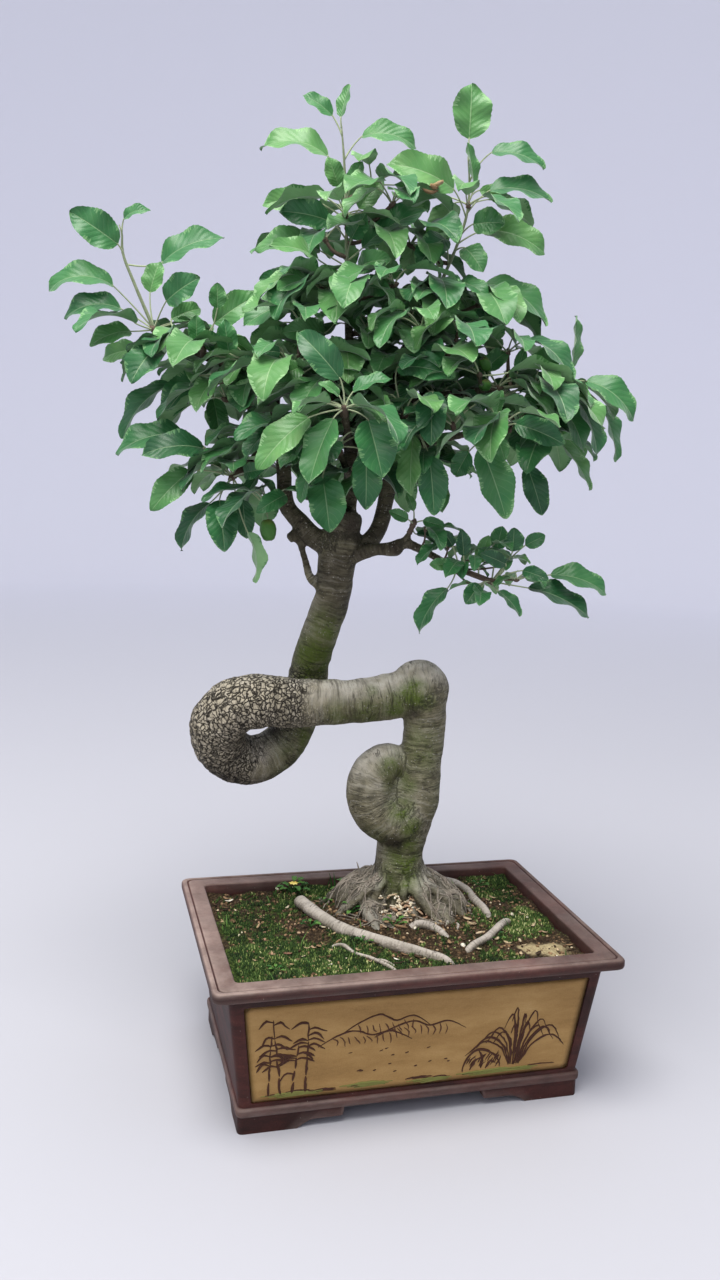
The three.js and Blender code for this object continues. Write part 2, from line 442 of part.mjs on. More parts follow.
const ROSETTES = {
  a: { at: [-307, 20, 663], more: 1, leaves: [
    [[-40, -5, 90], [-90, -20, 120], 40, 35, [-35, 0, 80]],
    [[-35, 0, 118], [-5, 0, 128], 14, 90, [-37, 0, 104]],
    [[-45, -5, 45], [-115, -15, 35], 28, 105],
    [[-35, -10, 20], [-95, -25, 5], 26, 90],
    [[-22, -20, -5], [-62, -45, -25], 24, 60],
    [[-20, 12, -20], [-65, 28, -32], 24, 40],
    [[10, -35, -25], [-10, -75, -65], 38, 60],
    [[-5, 0, 40], [5, 5, 75], 26, 30],
    [[15, -10, 30], [55, -25, 55], 34, 40],
    [[5, 10, 75], [75, 10, 105], 32, 60, [-32, 0, 70]],
  ] },
  b: { at: [-246, -15, 639], more: 1, leaves: [
    [[15, 0, 45], [15, -5, 72], 20, 15],
    [[10, 10, 30], [60, 20, 65], 34, 40],
    [[30, -12, -5], [25, -18, 32], 24, 20],
    [[-5, -15, 8], [-5, -20, 35], 20, 20],
    [[-40, 15, 35], [-10, 30, 50], 24, 50],
  ] },
  c: { at: [-235, 40, 610], more: 2, leaves: [
    [[-20, -10, 5], [-60, -25, -45], 38, 60],
    [[-55, 0, -5], [-110, -5, -70], 28, 60],
    [[-5, -12, -20], [5, -22, -68], 24, 30],
    [[20, 10, -10], [50, 20, -20], 26, 50],
  ] },
  d: { at: [-211, -10, 502], more: 2, leaves: [
    [[-30, -20, 30], [-95, -40, 20], 30, 70],
    [[-55, 0, 45], [-130, -10, 20], 28, 60],
    [[-45, -15, 5], [-85, -35, -40], 32, 50],
    [[-25, 0, -30], [-55, -10, -85], 22, 60],
    [[-10, -35, -25], [0, -60, -80], 36, 30],
    [[20, -15, -60], [30, -25, -115], -18, 60],
    [[10, 10, -25], [15, 15, -70], 24, 30],
    [[15, -25, 5], [40, -45, 10], 20, 40],
  ] },
  e: { at: [-171, -26, 469], more: 2, leaves: [
    [[22, -6, 16], [-8, -30, -4], 22, 50],
  ] },
  f: { at: [-86, -110, 577], more: 2, leaves: [
    [[-5, 0, 30], [-50, 5, 75], 34, 50],
    [[-5, -6, 12], [-27, -8, 24], 10, 60],
    [[8, 0, 17], [48, 0, 32], 14, 50],
    [[-10, -15, -10], [-32, -32, -78], 32, 25],
    [[25, -10, -10], [42, -28, -68], 42, 20],
    [[-35, -5, -10], [-85, -15, -65], 34, 40],
  ] },
  n: { at: [-92, -68, 539], more: 1, leaves: [
    [[-15, -12, -32], [-5, -28, -90], 42, 25],
    [[30, -8, -5], [32, -20, -65], 34, 25],
    [[-25, -15, -20], [-35, -25, -60], 16, 30],
  ] },
  p: { at: [-22, -60, 575], more: 1, leaves: [
    [[10, -10, -20], [10, -18, -85], 26, 15],
    [[28, -20, 25], [28, -42, -32], 34, 30],
    [[28, -5, -40], [36, -12, -105], 34, 20],
    [[-10, 0, 50], [50, -20, 40], 30, 60],
  ] },
  g: { at: [-90, 0, 700], more: 1, leaves: [
    [[-45, -5, 105], [-95, -10, 95], 26, 50, [-4, 0, 86]],
    [[-20, -15, 80], [-75, -30, 85], 32, 50, [-3, 0, 65]],
    [[-25, 0, 150], [-100, 0, 155], 28, 80, [-7, 0, 132]],
    [[10, 0, 172], [70, 0, 162], 26, 80, [-8, 0, 147]],
    [[-22, 0, 192], [-55, 0, 212], 18, 40, [-11, 0, 172]],
    [[-13, -2, 190], [-5, 0, 225], 14, 10, [-12, 0, 180]],
    [[-12, -20, 115], [-25, -30, 142], 22, 30, [-4, 0, 98]],
    [[0, -15, 115], [12, -20, 142], 18, 30, [-4, 0, 102]],
    [[10, 5, 98], [35, 10, 130], 26, 40, [-4, 0, 84]],
    [[-30, -10, 50], [-100, -20, 45], 30, 80, [-1, 0, 36]],
    [[-30, -25, 35], [-80, -50, 40], 20, 50, [-1, 0, 28]],
    [[-50, -10, 15], [-95, -25, 15], 26, 60],
    [[-25, -35, 10], [-70, -80, -5], 22, 60],
    [[-40, -15, -3], [-110, -35, -35], 32, 50],
    [[-35, 15, -5], [-65, 35, -15], 20, 40],
    [[-22, -20, -38], [-67, -40, -42], 30, 70],
    [[3, -16, 62], [18, -22, 88], 26, 20, [-1, 0, 42]],
    [[15, -5, 55], [85, -15, 95], 30, 40, [-1, 0, 42]],
    [[12, -20, 32], [47, -45, 38], 26, 70, [-1, 0, 26]],
    [[30, 10, 30], [62, 20, 36], 24, 70],
    [[18, -25, 12], [48, -55, 4], 26, 50],
    [[22, -15, -28], [32, -25, -68], 18, 20],
    [[32, 5, -22], [77, 15, -28], -32, 30],
  ] },
  h: { at: [8, 20, 711], more: 1, leaves: [
    [[55, -5, 15], [125, -15, -30], 28, 70],
    [[22, -20, 10], [57, -45, -10], 20, 90],
    [[30, -10, -30], [80, -20, -40], 22, 90],
    [[8, -15, 60], [-22, -30, 25], 32, 80, [14, 0, 32]],
    [[55, 0, 155], [115, 0, 140], 24, 60, [33, 0, 124]],
    [[55, 0, 115], [125, 0, 105], 26, 60, [32, 0, 90]],
    [[30, 0, 168], [30, 0, 226], 46, 15, [31, 0, 145]],
    [[15, -20, 110], [-60, -35, 130], 38, 60, [31, 0, 86]],
    [[38, 6, 120], [27, 6, 162], 14, 10, [33, 0, 102]],
    [[38, -15, 76], [72, -25, 76], 32, 40, [27, 0, 68]],
    [[50, -5, 72], [120, -10, 48], 34, 70, [24, 0, 58]],
    [[30, -20, 50], [50, -36, 22], 28, 50, [21, 0, 50]],
    [[46, 20, 120], [82, 36, 110], 20, 50, [32, 0, 98]],
    [[-25, 15, 60], [-31, 20, 25], -24, 20, [10, 0, 24]],
  ] },
  i: { at: [81, -20, 610], more: 2, leaves: [
    [[-15, 12, 20], [10, 22, 42], 22, 60],
    [[20, -3, 18], [26, -3, 44], 14, 10, [20, 0, 3]],
    [[-20, -20, 2], [-62, -40, 8], 24, 40],
    [[97, 5, 12], [152, 0, -30], 30, 80, [80, 0, 11]],
    [[82, 10, 26], [82, 10, 82], 14, 8, [76, 0, 10]],
    [[68, 15, 28], [38, 30, 38], 26, 60, [66, 0, 9]],
    [[80, -20, -5], [106, -40, -70], 24, 40, [72, 0, 10]],
    [[118, 18, -12], [140, 18, -75], 20, 30, [78, 0, 11]],
    [[55, -8, -6], [95, -18, -66], 30, 60, [38, 0, 5]],
  ] },
  k: { at: [80, -70, 565], more: 2, leaves: [
    [[14, -10, 5], [66, -22, -15], 28, 40],
    [[-5, 0, 14], [0, 0, 40], 12, 10],
    [[-5, -12, -8], [5, -18, -34], 17, 20],
    [[-20, -10, -20], [10, -22, -95], 40, 20],
    [[-30, 20, -25], [-42, 36, -52], 24, 40],
  ] },
  j: { at: [141, 10, 557], more: 3, leaves: [
    [[-20, -10, -30], [0, -16, -85], 30, 20],
    [[20, 0, -5], [55, 0, -55], 18, 30],
    [[20, 20, 10], [52, 26, -20], 22, 50],
  ] },
  l: { at: [-6, -28, 458], more: 0, leaves: [
    [[10, 0, 4], [36, 0, -2], 14, 50],
    [[0, 0, 14], [-10, 0, 34], 10, 30],
    [[-6, -10, 5], [-28, -12, 14], 14, 30],
    [[4, 10, -12], [42, 12, -30], 12, 60],
  ] },
  m: { at: [85, -30, 397], more: 0, leaves: [
    [[-50, -10, 18], [-72, -15, 18], 15, 30, [-40, 1, 13]],
    [[-46, 0, 38], [-58, 0, 56], 14, 20, [-37, 1, 12]],
    [[-34, -10, 28], [-38, -12, 58], 18, 20, [-30, 0, 10]],
    [[-15, 0, 20], [-6, 0, 52], 16, 20, [-15, 0, 5]],
    [[5, 12, 35], [10, 14, 62], 22, 20],
    [[20, -10, 35], [20, -12, 62], 24, 10],
    [[35, 0, 42], [57, 0, 54], 18, 20],
    [[12, -22, 22], [-18, -34, 34], 18, 30],
    [[30, -25, 16], [57, -42, 8], 16, 40],
    [[65, 0, 10], [130, 0, -10], 22, 60],
    [[40, -10, -5], [110, -20, -35], 20, 40],
    [[5, -20, -8], [30, -32, -34], 13, 40],
    [[-15, -16, -2], [-30, -22, -24], 22, 20],
    [[-50, -12, -8], [-80, -18, -60], 18, 50, [-40, 1, 13]],
  ] },
  q: { at: [-149, -50, 621], more: 2, leaves: [
    [[-8, -8, 15], [-38, -12, 15], 22, 40],
    [[15, -18, 0], [-10, -34, -16], 24, 50],
  ] },
  r: { at: [11, -40, 624], more: 3, leaves: [] },
  s: { at: [-202, 105, 614], more: 5, leaves: [] },
  t: { at: [-122, 116, 644], more: 5, leaves: [] },
  u: { at: [-12, 116, 664], more: 4, leaves: [] },
  x: { at: [70, 92, 590], more: 3, leaves: [] },
  y: { at: [-55, 106, 519], more: 4, leaves: [] },
  z: { at: [-148, 100, 538], more: 5, leaves: [] },
};

// Leaf form
const PETIOLE_RADIUS = 1.15;
const BLADE_THICKNESS = 1.5;
const FOLD = 0.3;
const WAVE = 0.075;
const WIDE_BLADE = 0.52;
const CORE_RADIUS = 6.5;
const CLEAR_OF_LEAF = 6;
const CLEAR_OF_WOOD = 3.2;
const TURN_STEP = 0.55;
const GOLDEN_ANGLE = 2.39996;

const UP = new THREE.Vector3(0, 0, 1);
const FRONT = place(0, -1, 0).sub(TREE_FOOT);

// Half width of a blade at t from 0, its base, to 1, its drawn-out tip
function bladeOutline(t) {
  return Math.pow(Math.sin(Math.PI * Math.pow(t, 0.82)), 0.72) * (1 - 0.22 * t * t);
}

// A leaf from its foot on the shoot to its tip. The midrib is an arc through base and tip,
// arched by the angle `arch` towards the upper face. That face is turned by `roll` from edge-on (0)
// to square-on (90 degrees) to the direction `towards`
function leafForm(foot, base, tip, width, arch, towards, roll, phase) {
  const chord = tip.clone().sub(base);
  const length = chord.length();
  chord.divideScalar(length);
  const squareOn = towards.clone().addScaledVector(chord, -towards.dot(chord)).normalize();
  const upper = new THREE.Vector3().crossVectors(chord, squareOn);
  if (upper.z < -1e-6) upper.negate();
  upper.multiplyScalar(Math.cos(roll)).addScaledVector(squareOn, Math.sin(roll)).normalize();
  const radius = length / 2 / Math.sin(arch / 2);
  const sag = radius * Math.cos(arch / 2);
  const across = new THREE.Vector3().crossVectors(chord, upper);
  const start = chord.clone().multiplyScalar(Math.cos(arch / 2)).addScaledVector(upper, Math.sin(arch / 2));
  const reach = foot.distanceTo(base);
  const bend = foot.clone().lerp(base, 0.5).lerp(base.clone().addScaledVector(start, -0.45 * reach), 0.5);
  // Midrib point, direction and upper normal at t
  const midrib = (t) => {
    const angle = arch * (t - 0.5);
    const point = base.clone().addScaledVector(chord, length / 2 + radius * Math.sin(angle));
    point.addScaledVector(upper, radius * Math.cos(angle) - sag);
    const normal = upper.clone().multiplyScalar(Math.cos(angle)).addScaledVector(chord, Math.sin(angle));
    return { point, normal };
  };
  const petiole = (t) => {
    const point = foot.clone().multiplyScalar((1 - t) * (1 - t)).addScaledVector(bend, 2 * t * (1 - t));
    return point.addScaledVector(base, t * t);
  };
  const edge = (t, sign) => {
    const { point, normal } = midrib(t);
    const half = width / 2 * bladeOutline(t);
    const wave = WAVE * width * Math.sin(2 * Math.PI * (2.2 * t + phase) + sign) * Math.min(1, 4 * t);
    point.addScaledVector(across, sign * half * Math.cos(FOLD));
    return point.addScaledVector(normal, half * Math.sin(FOLD) + wave);
  };
  return { midrib, petiole, edge, across, start, width, length };
}

// Points spread over a leaf, by which leaves keep clear of each other
function leafPoints(form) {
  const points = [];
  const rows = Math.max(4, Math.round(form.length / 8));
  for (let row = 0; row <= rows; row++) {
    const t = row / rows;
    const middle = form.midrib(t).point;
    points.push(middle);
    if (row === 0 || row === rows) continue;
    for (const sign of [-1, 1]) {
      const edge = form.edge(t, sign);
      points.push(edge, middle.clone().lerp(edge, 0.5));
    }
  }
  return { blade: points, stalk: [0.45, 0.7, 0.9].map(form.petiole) };
}

// The closed faceted leaf: a ring at the stalk's foot, one at the blade's base, turned half way between
// stalk and blade, then rings across the blade, both faces split alike
const BLADE_STOPS = [0.27, 0.55, 0.82];
const SMALL_BLADE_STOPS = [0.35, 0.74];
const SMALL_LEAF = 50;

function leafSolid(form) {
  const stops = form.length < SMALL_LEAF ? SMALL_BLADE_STOPS : BLADE_STOPS;
  const rings = stops.length + 2;
  const geometry = new THREE.CylinderGeometry(0, 1, 1, 4, rings);
  const index = geometry.index.array;
  const perColumn = (2 * rings - 1) * 3;
  for (const column of [1, 3]) {
    for (let i = column * perColumn + 3; i < (column + 1) * perColumn; i += 6) {
      const [a, b, d, , c] = index.slice(i, i + 6);
      index.set([a, b, c, a, c, d], i);
    }
  }
  const foot = form.petiole(0);
  const base = form.petiole(1);
  const rise = base.clone().sub(foot).normalize();
  const mitre = rise.clone().add(form.start).normalize();
  const position = geometry.attributes.position;
  for (let i = 0; i < position.count; i++) {
    const ring = Math.round((position.getY(i) + 0.5) * rings);
    const x = Math.sign(Math.round(position.getX(i) * 10));
    const z = Math.sign(Math.round(position.getZ(i) * 10));
    let point;
    if (ring === rings) point = form.midrib(1).point;
    else if (ring < 2) {
      const way = ring === 0 ? rise : mitre;
      const across = form.across.clone().addScaledVector(way, -form.across.dot(way)).normalize();
      const normal = new THREE.Vector3().crossVectors(across, way);
      point = (ring === 0 ? foot : base).clone();
      point.addScaledVector(across, x * PETIOLE_RADIUS).addScaledVector(normal, z * PETIOLE_RADIUS);
    } else {
      const t = stops[ring - 2];
      const { point: middle, normal } = form.midrib(t);
      point = x === 0 ? middle.addScaledVector(normal, z * BLADE_THICKNESS / 2) : form.edge(t, x);
    }
    position.setXYZ(i, point.x, point.y, point.z);
  }
  return solidOf(geometry);
}

// Places that are already taken, as points with the distance to keep
const takenWood = [];
const takenBlades = [];
const takenStalks = [];

function takeWood(rows, owner) {
  const curve = curveOf(rows);
  const count = Math.max(2, Math.ceil(curve.getLength() / 5));
  for (let i = 0; i <= count; i++) {
    const t = curve.getUtoTmapping(i / count) * (rows.length - 1);
    const lower = Math.min(Math.floor(t), rows.length - 2);
    const radius = THREE.MathUtils.lerp(rows[lower][3], rows[lower + 1][3], t - lower);
    takenWood.push({ point: curve.getPointAt(i / count), radius, owner });
  }
}

function near(points, others, distance) {
  const keep = distance ** 2;
  return points.some((point) => others.some((other) => point.distanceToSquared(other) < keep));
}

function isClear(form, owner) {
  const { blade, stalk } = leafPoints(form);
  for (const wood of takenWood) {
    const keep = wood.radius + CLEAR_OF_WOOD;
    if (near(blade, [wood.point], keep)) return false;
    if (wood.owner !== owner && near(stalk, [wood.point], keep)) return false;
  }
  if (near(blade, takenBlades, CLEAR_OF_LEAF)) return false;
  const strangers = takenStalks.filter((taken) => taken.owner !== owner).map((taken) => taken.point);
  const own = takenStalks.filter((taken) => taken.owner === owner).map((taken) => taken.point);
  return !near(stalk, takenBlades, CLEAR_OF_LEAF * 0.8) && !near(blade, own, CLEAR_OF_LEAF * 0.6)
    && !near(blade, strangers, CLEAR_OF_LEAF * 0.8) && !near(stalk, strangers, CLEAR_OF_LEAF * 0.8);
}

function take(form, owner) {
  const { blade, stalk } = leafPoints(form);
  takenBlades.push(...blade);
  stalk.forEach((point) => takenStalks.push({ point, owner }));
}

const LEAF_SEED = 2026;
const TURNS_TRIED = 12;
const DEPTH_SHIFTS = [0, -8, 8, -16, 16, -25, 25, -35, 35];
const degrees = THREE.MathUtils.degToRad;

// A leaf read from the front keeps its place there and moves in depth until it is clear
function leadLeaf(rosette, owner, row, phase) {
  const [base, tip, seen, arch, foot = [0, 0, 0]] = row;
  const [u, v, w] = rosette.at;
  const length = Math.hypot(tip[0] - base[0], tip[1] - base[1], tip[2] - base[2]);
  const width = Math.max(Math.abs(seen), WIDE_BLADE * length);
  const roll = Math.sign(seen) * Math.asin(Math.min(0.98, Math.abs(seen) / width));
  for (const shift of DEPTH_SHIFTS) {
    const form = leafForm(
      place(u + foot[0], v + foot[1], w + foot[2]),
      place(u + base[0], v + base[1] + 0.6 * shift, w + base[2]),
      place(u + tip[0], v + tip[1] + shift, w + tip[2]),
      width, degrees(arch), FRONT, roll, phase,
    );
    if (isClear(form, owner)) return form;
  }
  return null;
}

// A leaf of the rule: it stands out from the rosette's heart, and turns round it until it is clear
function moreLeaf(rosette, owner, count, draw) {
  const [u, v, w] = rosette.at;
  const heart = place(u, v, w);
  const stalk = 16 + 16 * draw();
  const length = 46 + 34 * draw();
  const width = length * (0.5 + 0.1 * draw());
  const rise = degrees(5 + 50 * draw());
  const droop = degrees(5 + 40 * draw());
  const arch = degrees(35 + 45 * draw());
  const roll = degrees(-20 + 40 * draw());
  const phase = draw();
  for (let attempt = 0; attempt < TURNS_TRIED; attempt++) {
    const heading = GOLDEN_ANGLE * count + TURN_STEP * attempt;
    const out = new THREE.Vector3(Math.cos(heading), Math.sin(heading), 0);
    const stalkWay = out.clone().multiplyScalar(Math.cos(rise)).addScaledVector(UP, Math.sin(rise));
    const bladeWay = out.clone().multiplyScalar(Math.cos(droop)).addScaledVector(UP, -Math.sin(droop));
    const base = heart.clone().addScaledVector(stalkWay, stalk);
    const tip = base.clone().addScaledVector(bladeWay, length);
    const form = leafForm(heart, base, tip, width, arch, UP, Math.PI / 2 - roll, phase);
    if (isClear(form, owner)) return form;
  }
  return null;
}

function growLeaves() {
  const main = [TRUNK, TRUNK_LOOP, LEFT_LIMB, CENTRE_LIMB, RIGHT_LIMB, LOW_TWIG, CUT_STUB, GRAFTED_STRAND];
  for (const rows of [...main, ...Object.values(SIDE_BRANCHES)]) takeWood(rows, 'trunk');
  const sprays = {};
  for (const [name, rosette] of Object.entries(ROSETTES)) {
    sprays[name] = [];
    for (const rows of SHOOTS[name] ?? []) takeWood(shootRows(rosette, rows), name);
    takeWood([woodOf(name).at(-1), [...rosette.at, CORE_RADIUS]], name);
  }
  for (const [name, fruit] of Object.entries(FRUITS)) takeWood(fruitRows(fruit), name);
  const grown = (form, name) => {
    take(form, name);
    sprays[name].push(form);
  };
  const draw = drawFrom(LEAF_SEED);
  for (const [name, rosette] of Object.entries(ROSETTES)) {
    rosette.leaves.forEach((row) => {
      const form = leadLeaf(rosette, name, row, draw());
      if (form) grown(form, name);
    });
  }
  for (const [name, rosette] of Object.entries(ROSETTES)) {
    for (let i = 0; i < rosette.more; i++) {
      const form = moreLeaf(rosette, name, i, draw);
      if (form) grown(form, name);
    }
  }
  return sprays;
}

function shootRows(rosette, rows) {
  return rows.map(([u, v, w, radius]) => [rosette.at[0] + u, rosette.at[1] + v, rosette.at[2] + w, radius]);
}

function bud(heart, grow = 0) {
  const ball = new THREE.SphereGeometry(CORE_RADIUS + grow, 6, 3);
  ball.translate(heart.x, heart.y, heart.z);
  return solidOf(ball);
}

// The heart of a rosette stands on its wood's end: a neck that faces the wood, and a bud
function rosetteHeart(name, rosette) {
  const woodRows = woodOf(name);
  const radius = woodRows[woodRows.length - 1][3];
  const curve = curveOf(woodRows);
  const way = curve.getTangent(1);
  const end = curve.getPoint(1).addScaledVector(way, GAP);
  const heart = place(...rosette.at);
  const course = [end, end.clone().addScaledVector(way, 2), heart];
  return [solidOf(limb(course, [radius, radius, 0.8 * radius], 5, 2)), bud(heart)];
}

const WOOD_ENDS = { a: LEFT_LIMB, g: CENTRE_LIMB, h: RIGHT_LIMB, m: LOW_TWIG };

function woodOf(name) {
  return WOOD_ENDS[name] ?? SIDE_BRANCHES[name];
}

// An apple's half section, as shares of its half width and half height, from the eye to the stalk
const APPLE_PROFILE = [[0, -0.86], [0.35, -1], [0.8, -0.66], [1, 0.05], [0.82, 0.66], [0.4, 1], [0, 0.8]];

// Young fruit: place of its centre, half width, half height, and the rosette that its stalk hangs from
const FRUITS = {
  fruit_left: { at: [-168, -28, 445], half: [9.5, 12], hangsFrom: 'e' },
  fruit_right_upper: { at: [64, -34, 634], half: [6.5, 8], hangsFrom: 'i' },
  fruit_right_lower: { at: [64, -44, 611], half: [6.5, 8], hangsFrom: 'i' },
};

function fruitRows({ at, half, hangsFrom }) {
  const low = [at[0], at[1] - 0.5, at[2] - half[1] * 0.6, half[0] * 0.8];
  return [[...ROSETTES[hangsFrom].at, 1], [...at, half[0]], low];
}

function buildFruit({ at, half, hangsFrom }) {
  const [radius, tall] = half;
  const profile = APPLE_PROFILE.map(([x, y]) => new THREE.Vector2(x * radius, y * tall));
  const skin = new THREE.LatheGeometry(profile, 8);
  skin.rotateX(Math.PI / 2);
  const centre = place(...at);
  const heart = place(...ROSETTES[hangsFrom].at);
  const way = heart.clone().sub(centre).normalize();
  skin.applyQuaternion(new THREE.Quaternion().setFromUnitVectors(UP, way));
  skin.translate(centre.x, centre.y, centre.z);
  const stem = limb([centre, centre.clone().lerp(heart, 0.5), heart], [1.1, 1.1, 1.3], 5, 3);
  return joined([solidOf(skin), solidOf(stem)]).subtract(bud(heart, 1.3 * GAP));
}

addMesh('pot', buildPot(), clay);
for (const [name, x] of [['drain_mesh_left', -DRAIN_HOLE_X], ['drain_mesh_right', DRAIN_HOLE_X]]) {
  const low = FLOOR_TOP + GAP;
  addMesh(name, meshPlate(x, low, low + MESH_THICKNESS, MESH_SIDE), plasticMesh);
}
addMesh('soil', buildSoil(), earth);
addMesh('trunk', buildTrunk(), bark);
Object.entries(SURFACE_ROOTS).forEach(([name, rows], i) => {
  addMesh(name, surfaceRoot(rows, 70 + i), rootBark);
});
for (const [name, forms] of Object.entries(growLeaves())) {
  const rosette = ROSETTES[name];
  const stems = (SHOOTS[name] ?? []).map((rows) => along(shootRows(rosette, rows), 5, rows.length + 1));
  const pieces = [...rosetteHeart(name, rosette), ...stems, ...forms.map(leafSolid)];
  addMesh(`spray_${name}`, joined(pieces), foliage);
}
for (const [name, fruit] of Object.entries(FRUITS)) addMesh(name, buildFruit(fruit), appleSkin);

const bounds = new THREE.Box3().setFromObject(group);
const middle = bounds.getCenter(new THREE.Vector3());
group.children.forEach((mesh) => mesh.geometry.translate(-middle.x, -middle.y, -bounds.min.z));

export default group;
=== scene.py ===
"""A trained apple bonsai in its clay pot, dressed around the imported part. Metres, +Z up, front towards -Y."""

import math
from math import cos, pi, radians, sin

import bmesh
import bpy
import numpy as np
from mathutils import Matrix, Vector, noise
from mathutils.bvhtree import BVHTree
from mathutils.kdtree import KDTree
from numpy.linalg import norm


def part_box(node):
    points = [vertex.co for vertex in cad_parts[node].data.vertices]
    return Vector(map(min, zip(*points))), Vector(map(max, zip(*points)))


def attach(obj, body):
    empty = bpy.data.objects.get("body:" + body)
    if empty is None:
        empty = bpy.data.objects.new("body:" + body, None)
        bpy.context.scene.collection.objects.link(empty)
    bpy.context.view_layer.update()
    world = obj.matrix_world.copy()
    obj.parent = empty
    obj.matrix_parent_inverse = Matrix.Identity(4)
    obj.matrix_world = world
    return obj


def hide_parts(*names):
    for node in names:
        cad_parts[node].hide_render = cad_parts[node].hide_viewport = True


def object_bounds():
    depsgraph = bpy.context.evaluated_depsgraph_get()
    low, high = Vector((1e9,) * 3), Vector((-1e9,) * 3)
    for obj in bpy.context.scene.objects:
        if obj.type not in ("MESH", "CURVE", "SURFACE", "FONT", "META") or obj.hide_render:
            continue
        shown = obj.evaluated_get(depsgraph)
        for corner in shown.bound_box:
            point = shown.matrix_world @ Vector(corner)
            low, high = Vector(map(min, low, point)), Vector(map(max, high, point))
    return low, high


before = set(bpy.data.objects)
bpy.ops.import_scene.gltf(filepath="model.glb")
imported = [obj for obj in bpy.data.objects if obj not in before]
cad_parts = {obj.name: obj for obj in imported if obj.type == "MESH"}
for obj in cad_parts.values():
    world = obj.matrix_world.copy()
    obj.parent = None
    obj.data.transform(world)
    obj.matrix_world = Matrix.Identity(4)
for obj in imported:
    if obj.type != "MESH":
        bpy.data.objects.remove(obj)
cad_box = [list(corner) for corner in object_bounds()]

MM = 0.001
UP = np.array([0.0, 0.0, 1.0])
UP_VECTOR = Vector((0, 0, 1))

# The pot's own frame: millimetres from the middle of the pot's foot
pot_low, pot_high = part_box("pot")
POT_MIDDLE = np.array([pot_low.x + pot_high.x, pot_low.y + pot_high.y, 0.0]) / 2 / MM

# The tree's own axes: u to the right, v to the back, w up from the foot, turned about the pot's upright
TREE_FOOT = np.array([26.0, 40.0, 172.0])
TREE_TURN = radians(-15.12)
TREE_COS, TREE_SIN = cos(TREE_TURN), sin(TREE_TURN)


def place(u, v, w):
    return np.array([u * TREE_COS - v * TREE_SIN, u * TREE_SIN + v * TREE_COS, w]) + TREE_FOOT


def in_row(points):
    """Points of the pot's frame, in millimetres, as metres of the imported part's frame."""
    return (np.asarray(points, float) + POT_MIDDLE) * MM


def draw_from(seed):
    state = seed
    while True:
        state = (state * 1664525 + 1013904223) % 4294967296
        yield state / 4294967296


# The pot's and the soil's own sizes, in millimetres, as the solids have them
RIM_LENGTH, RIM_WIDTH, RIM_LEDGE, RIM_BAND = 450, 315, 26, 12
BODY_INSET, BODY_TAPER, POT_HEIGHT = 17.5, 16, 174
FOOT_HEIGHT, FOOT_LENGTH, FOOT_SCROLL, FOOT_LIP, FOOT_THICKNESS = 19, 116, 52, 9, 24
MOULDING_HEIGHT, MOULDING_OUT, FLOOR_TOP = 10, 3, 38
PANEL_MARGIN, PANEL_LOW_MARGIN, PANEL_DEPTH, PANEL_CORNER = 14, 4, 2, 3
DRAIN_HOLE_RADIUS, DRAIN_HOLE_X = 14, 95
GAP, SOIL_LEVEL, MOUND_HEIGHT, MOUND_SPREAD, SOIL_ROUGHNESS = 0.3, 161, 16, 75, 1.6
BODY_TOP_LENGTH, BODY_TOP_WIDTH = RIM_LENGTH - 2 * BODY_INSET, RIM_WIDTH - 2 * BODY_INSET
BODY_LOW, BODY_HIGH = FOOT_HEIGHT + MOULDING_HEIGHT, POT_HEIGHT - RIM_BAND
WELL_LENGTH, WELL_WIDTH = RIM_LENGTH - 2 * RIM_LEDGE, RIM_WIDTH - 2 * RIM_LEDGE

# The wood's courses, as rows of u, v, w and radius in millimetres
TRUNK = [
    [0, 4, -40, 27], [0, 2, -12, 38], [-1, 0, 10, 32], [-3, 0, 44, 28.5], [-2, 2, 72, 28.5], [5, 0, 105, 29],
    [14, 0, 136, 27], [17, 0, 179, 24.5], [18, 0, 228, 25.5], [14, -3, 258, 29], [6, -4, 272, 20],
]
TRUNK_LOOP = [
    [30, -2, 260, 20], [12, -3, 262, 31], [-21, -8, 257, 28], [-69, -20, 251, 25.5], [-127, -28, 249, 27.5],
    [-170, -28, 249, 30.5], [-205, -22, 237, 32], [-224, -8, 207, 33], [-213, 6, 177, 32],
    [-184, 16, 167, 29.5], [-152, 26, 184, 26.5], [-133, 33, 216, 24.5], [-124, 33, 252, 23],
    [-118, 27, 289, 22], [-106, 18, 328, 21.5], [-95, 10, 368, 21], [-91, 5, 403, 22], [-87, 0, 435, 24],
    [-81, -4, 460, 17],
]
LEFT_LIMB = [
    [-88, 2, 418, 12], [-119, 0, 438, 12], [-134, 0, 454, 10.5], [-150, 0, 473, 9.5], [-155, 5, 512, 8.5],
    [-160, 8, 557, 8], [-173, 10, 592, 7.5], [-208, 14, 615, 6.5], [-240, 16, 632, 5.5], [-272, 18, 646, 4.8],
    [-298, 20, 657, 4.2],
]
CENTRE_LIMB = [
    [-86, 0, 435, 11], [-78, 10, 492, 9.5], [-80, 12, 537, 8.5], [-86, 8, 593, 7.5], [-85, 2, 647, 6],
    [-88, 0, 690, 4.5],
]
RIGHT_LIMB = [
    [-80, 3, 420, 12], [-62, 3, 427, 11.5], [-44, 10, 450, 10.5], [-37, 14, 482, 9.5], [-31, 16, 516, 9],
    [-31, 16, 562, 8], [-30, 14, 606, 7], [-26, 12, 643, 6.5], [-9, 14, 671, 5.5], [4, 19, 702, 4.5],
]
LOW_TWIG = [
    [-78, -5, 414, 9], [-47, -15, 427, 7], [-27, -22, 429, 8.5], [-17, -24, 436, 6], [3, -26, 430, 5],
    [26, -28, 419, 4.2], [34, -29, 415, 4],
]
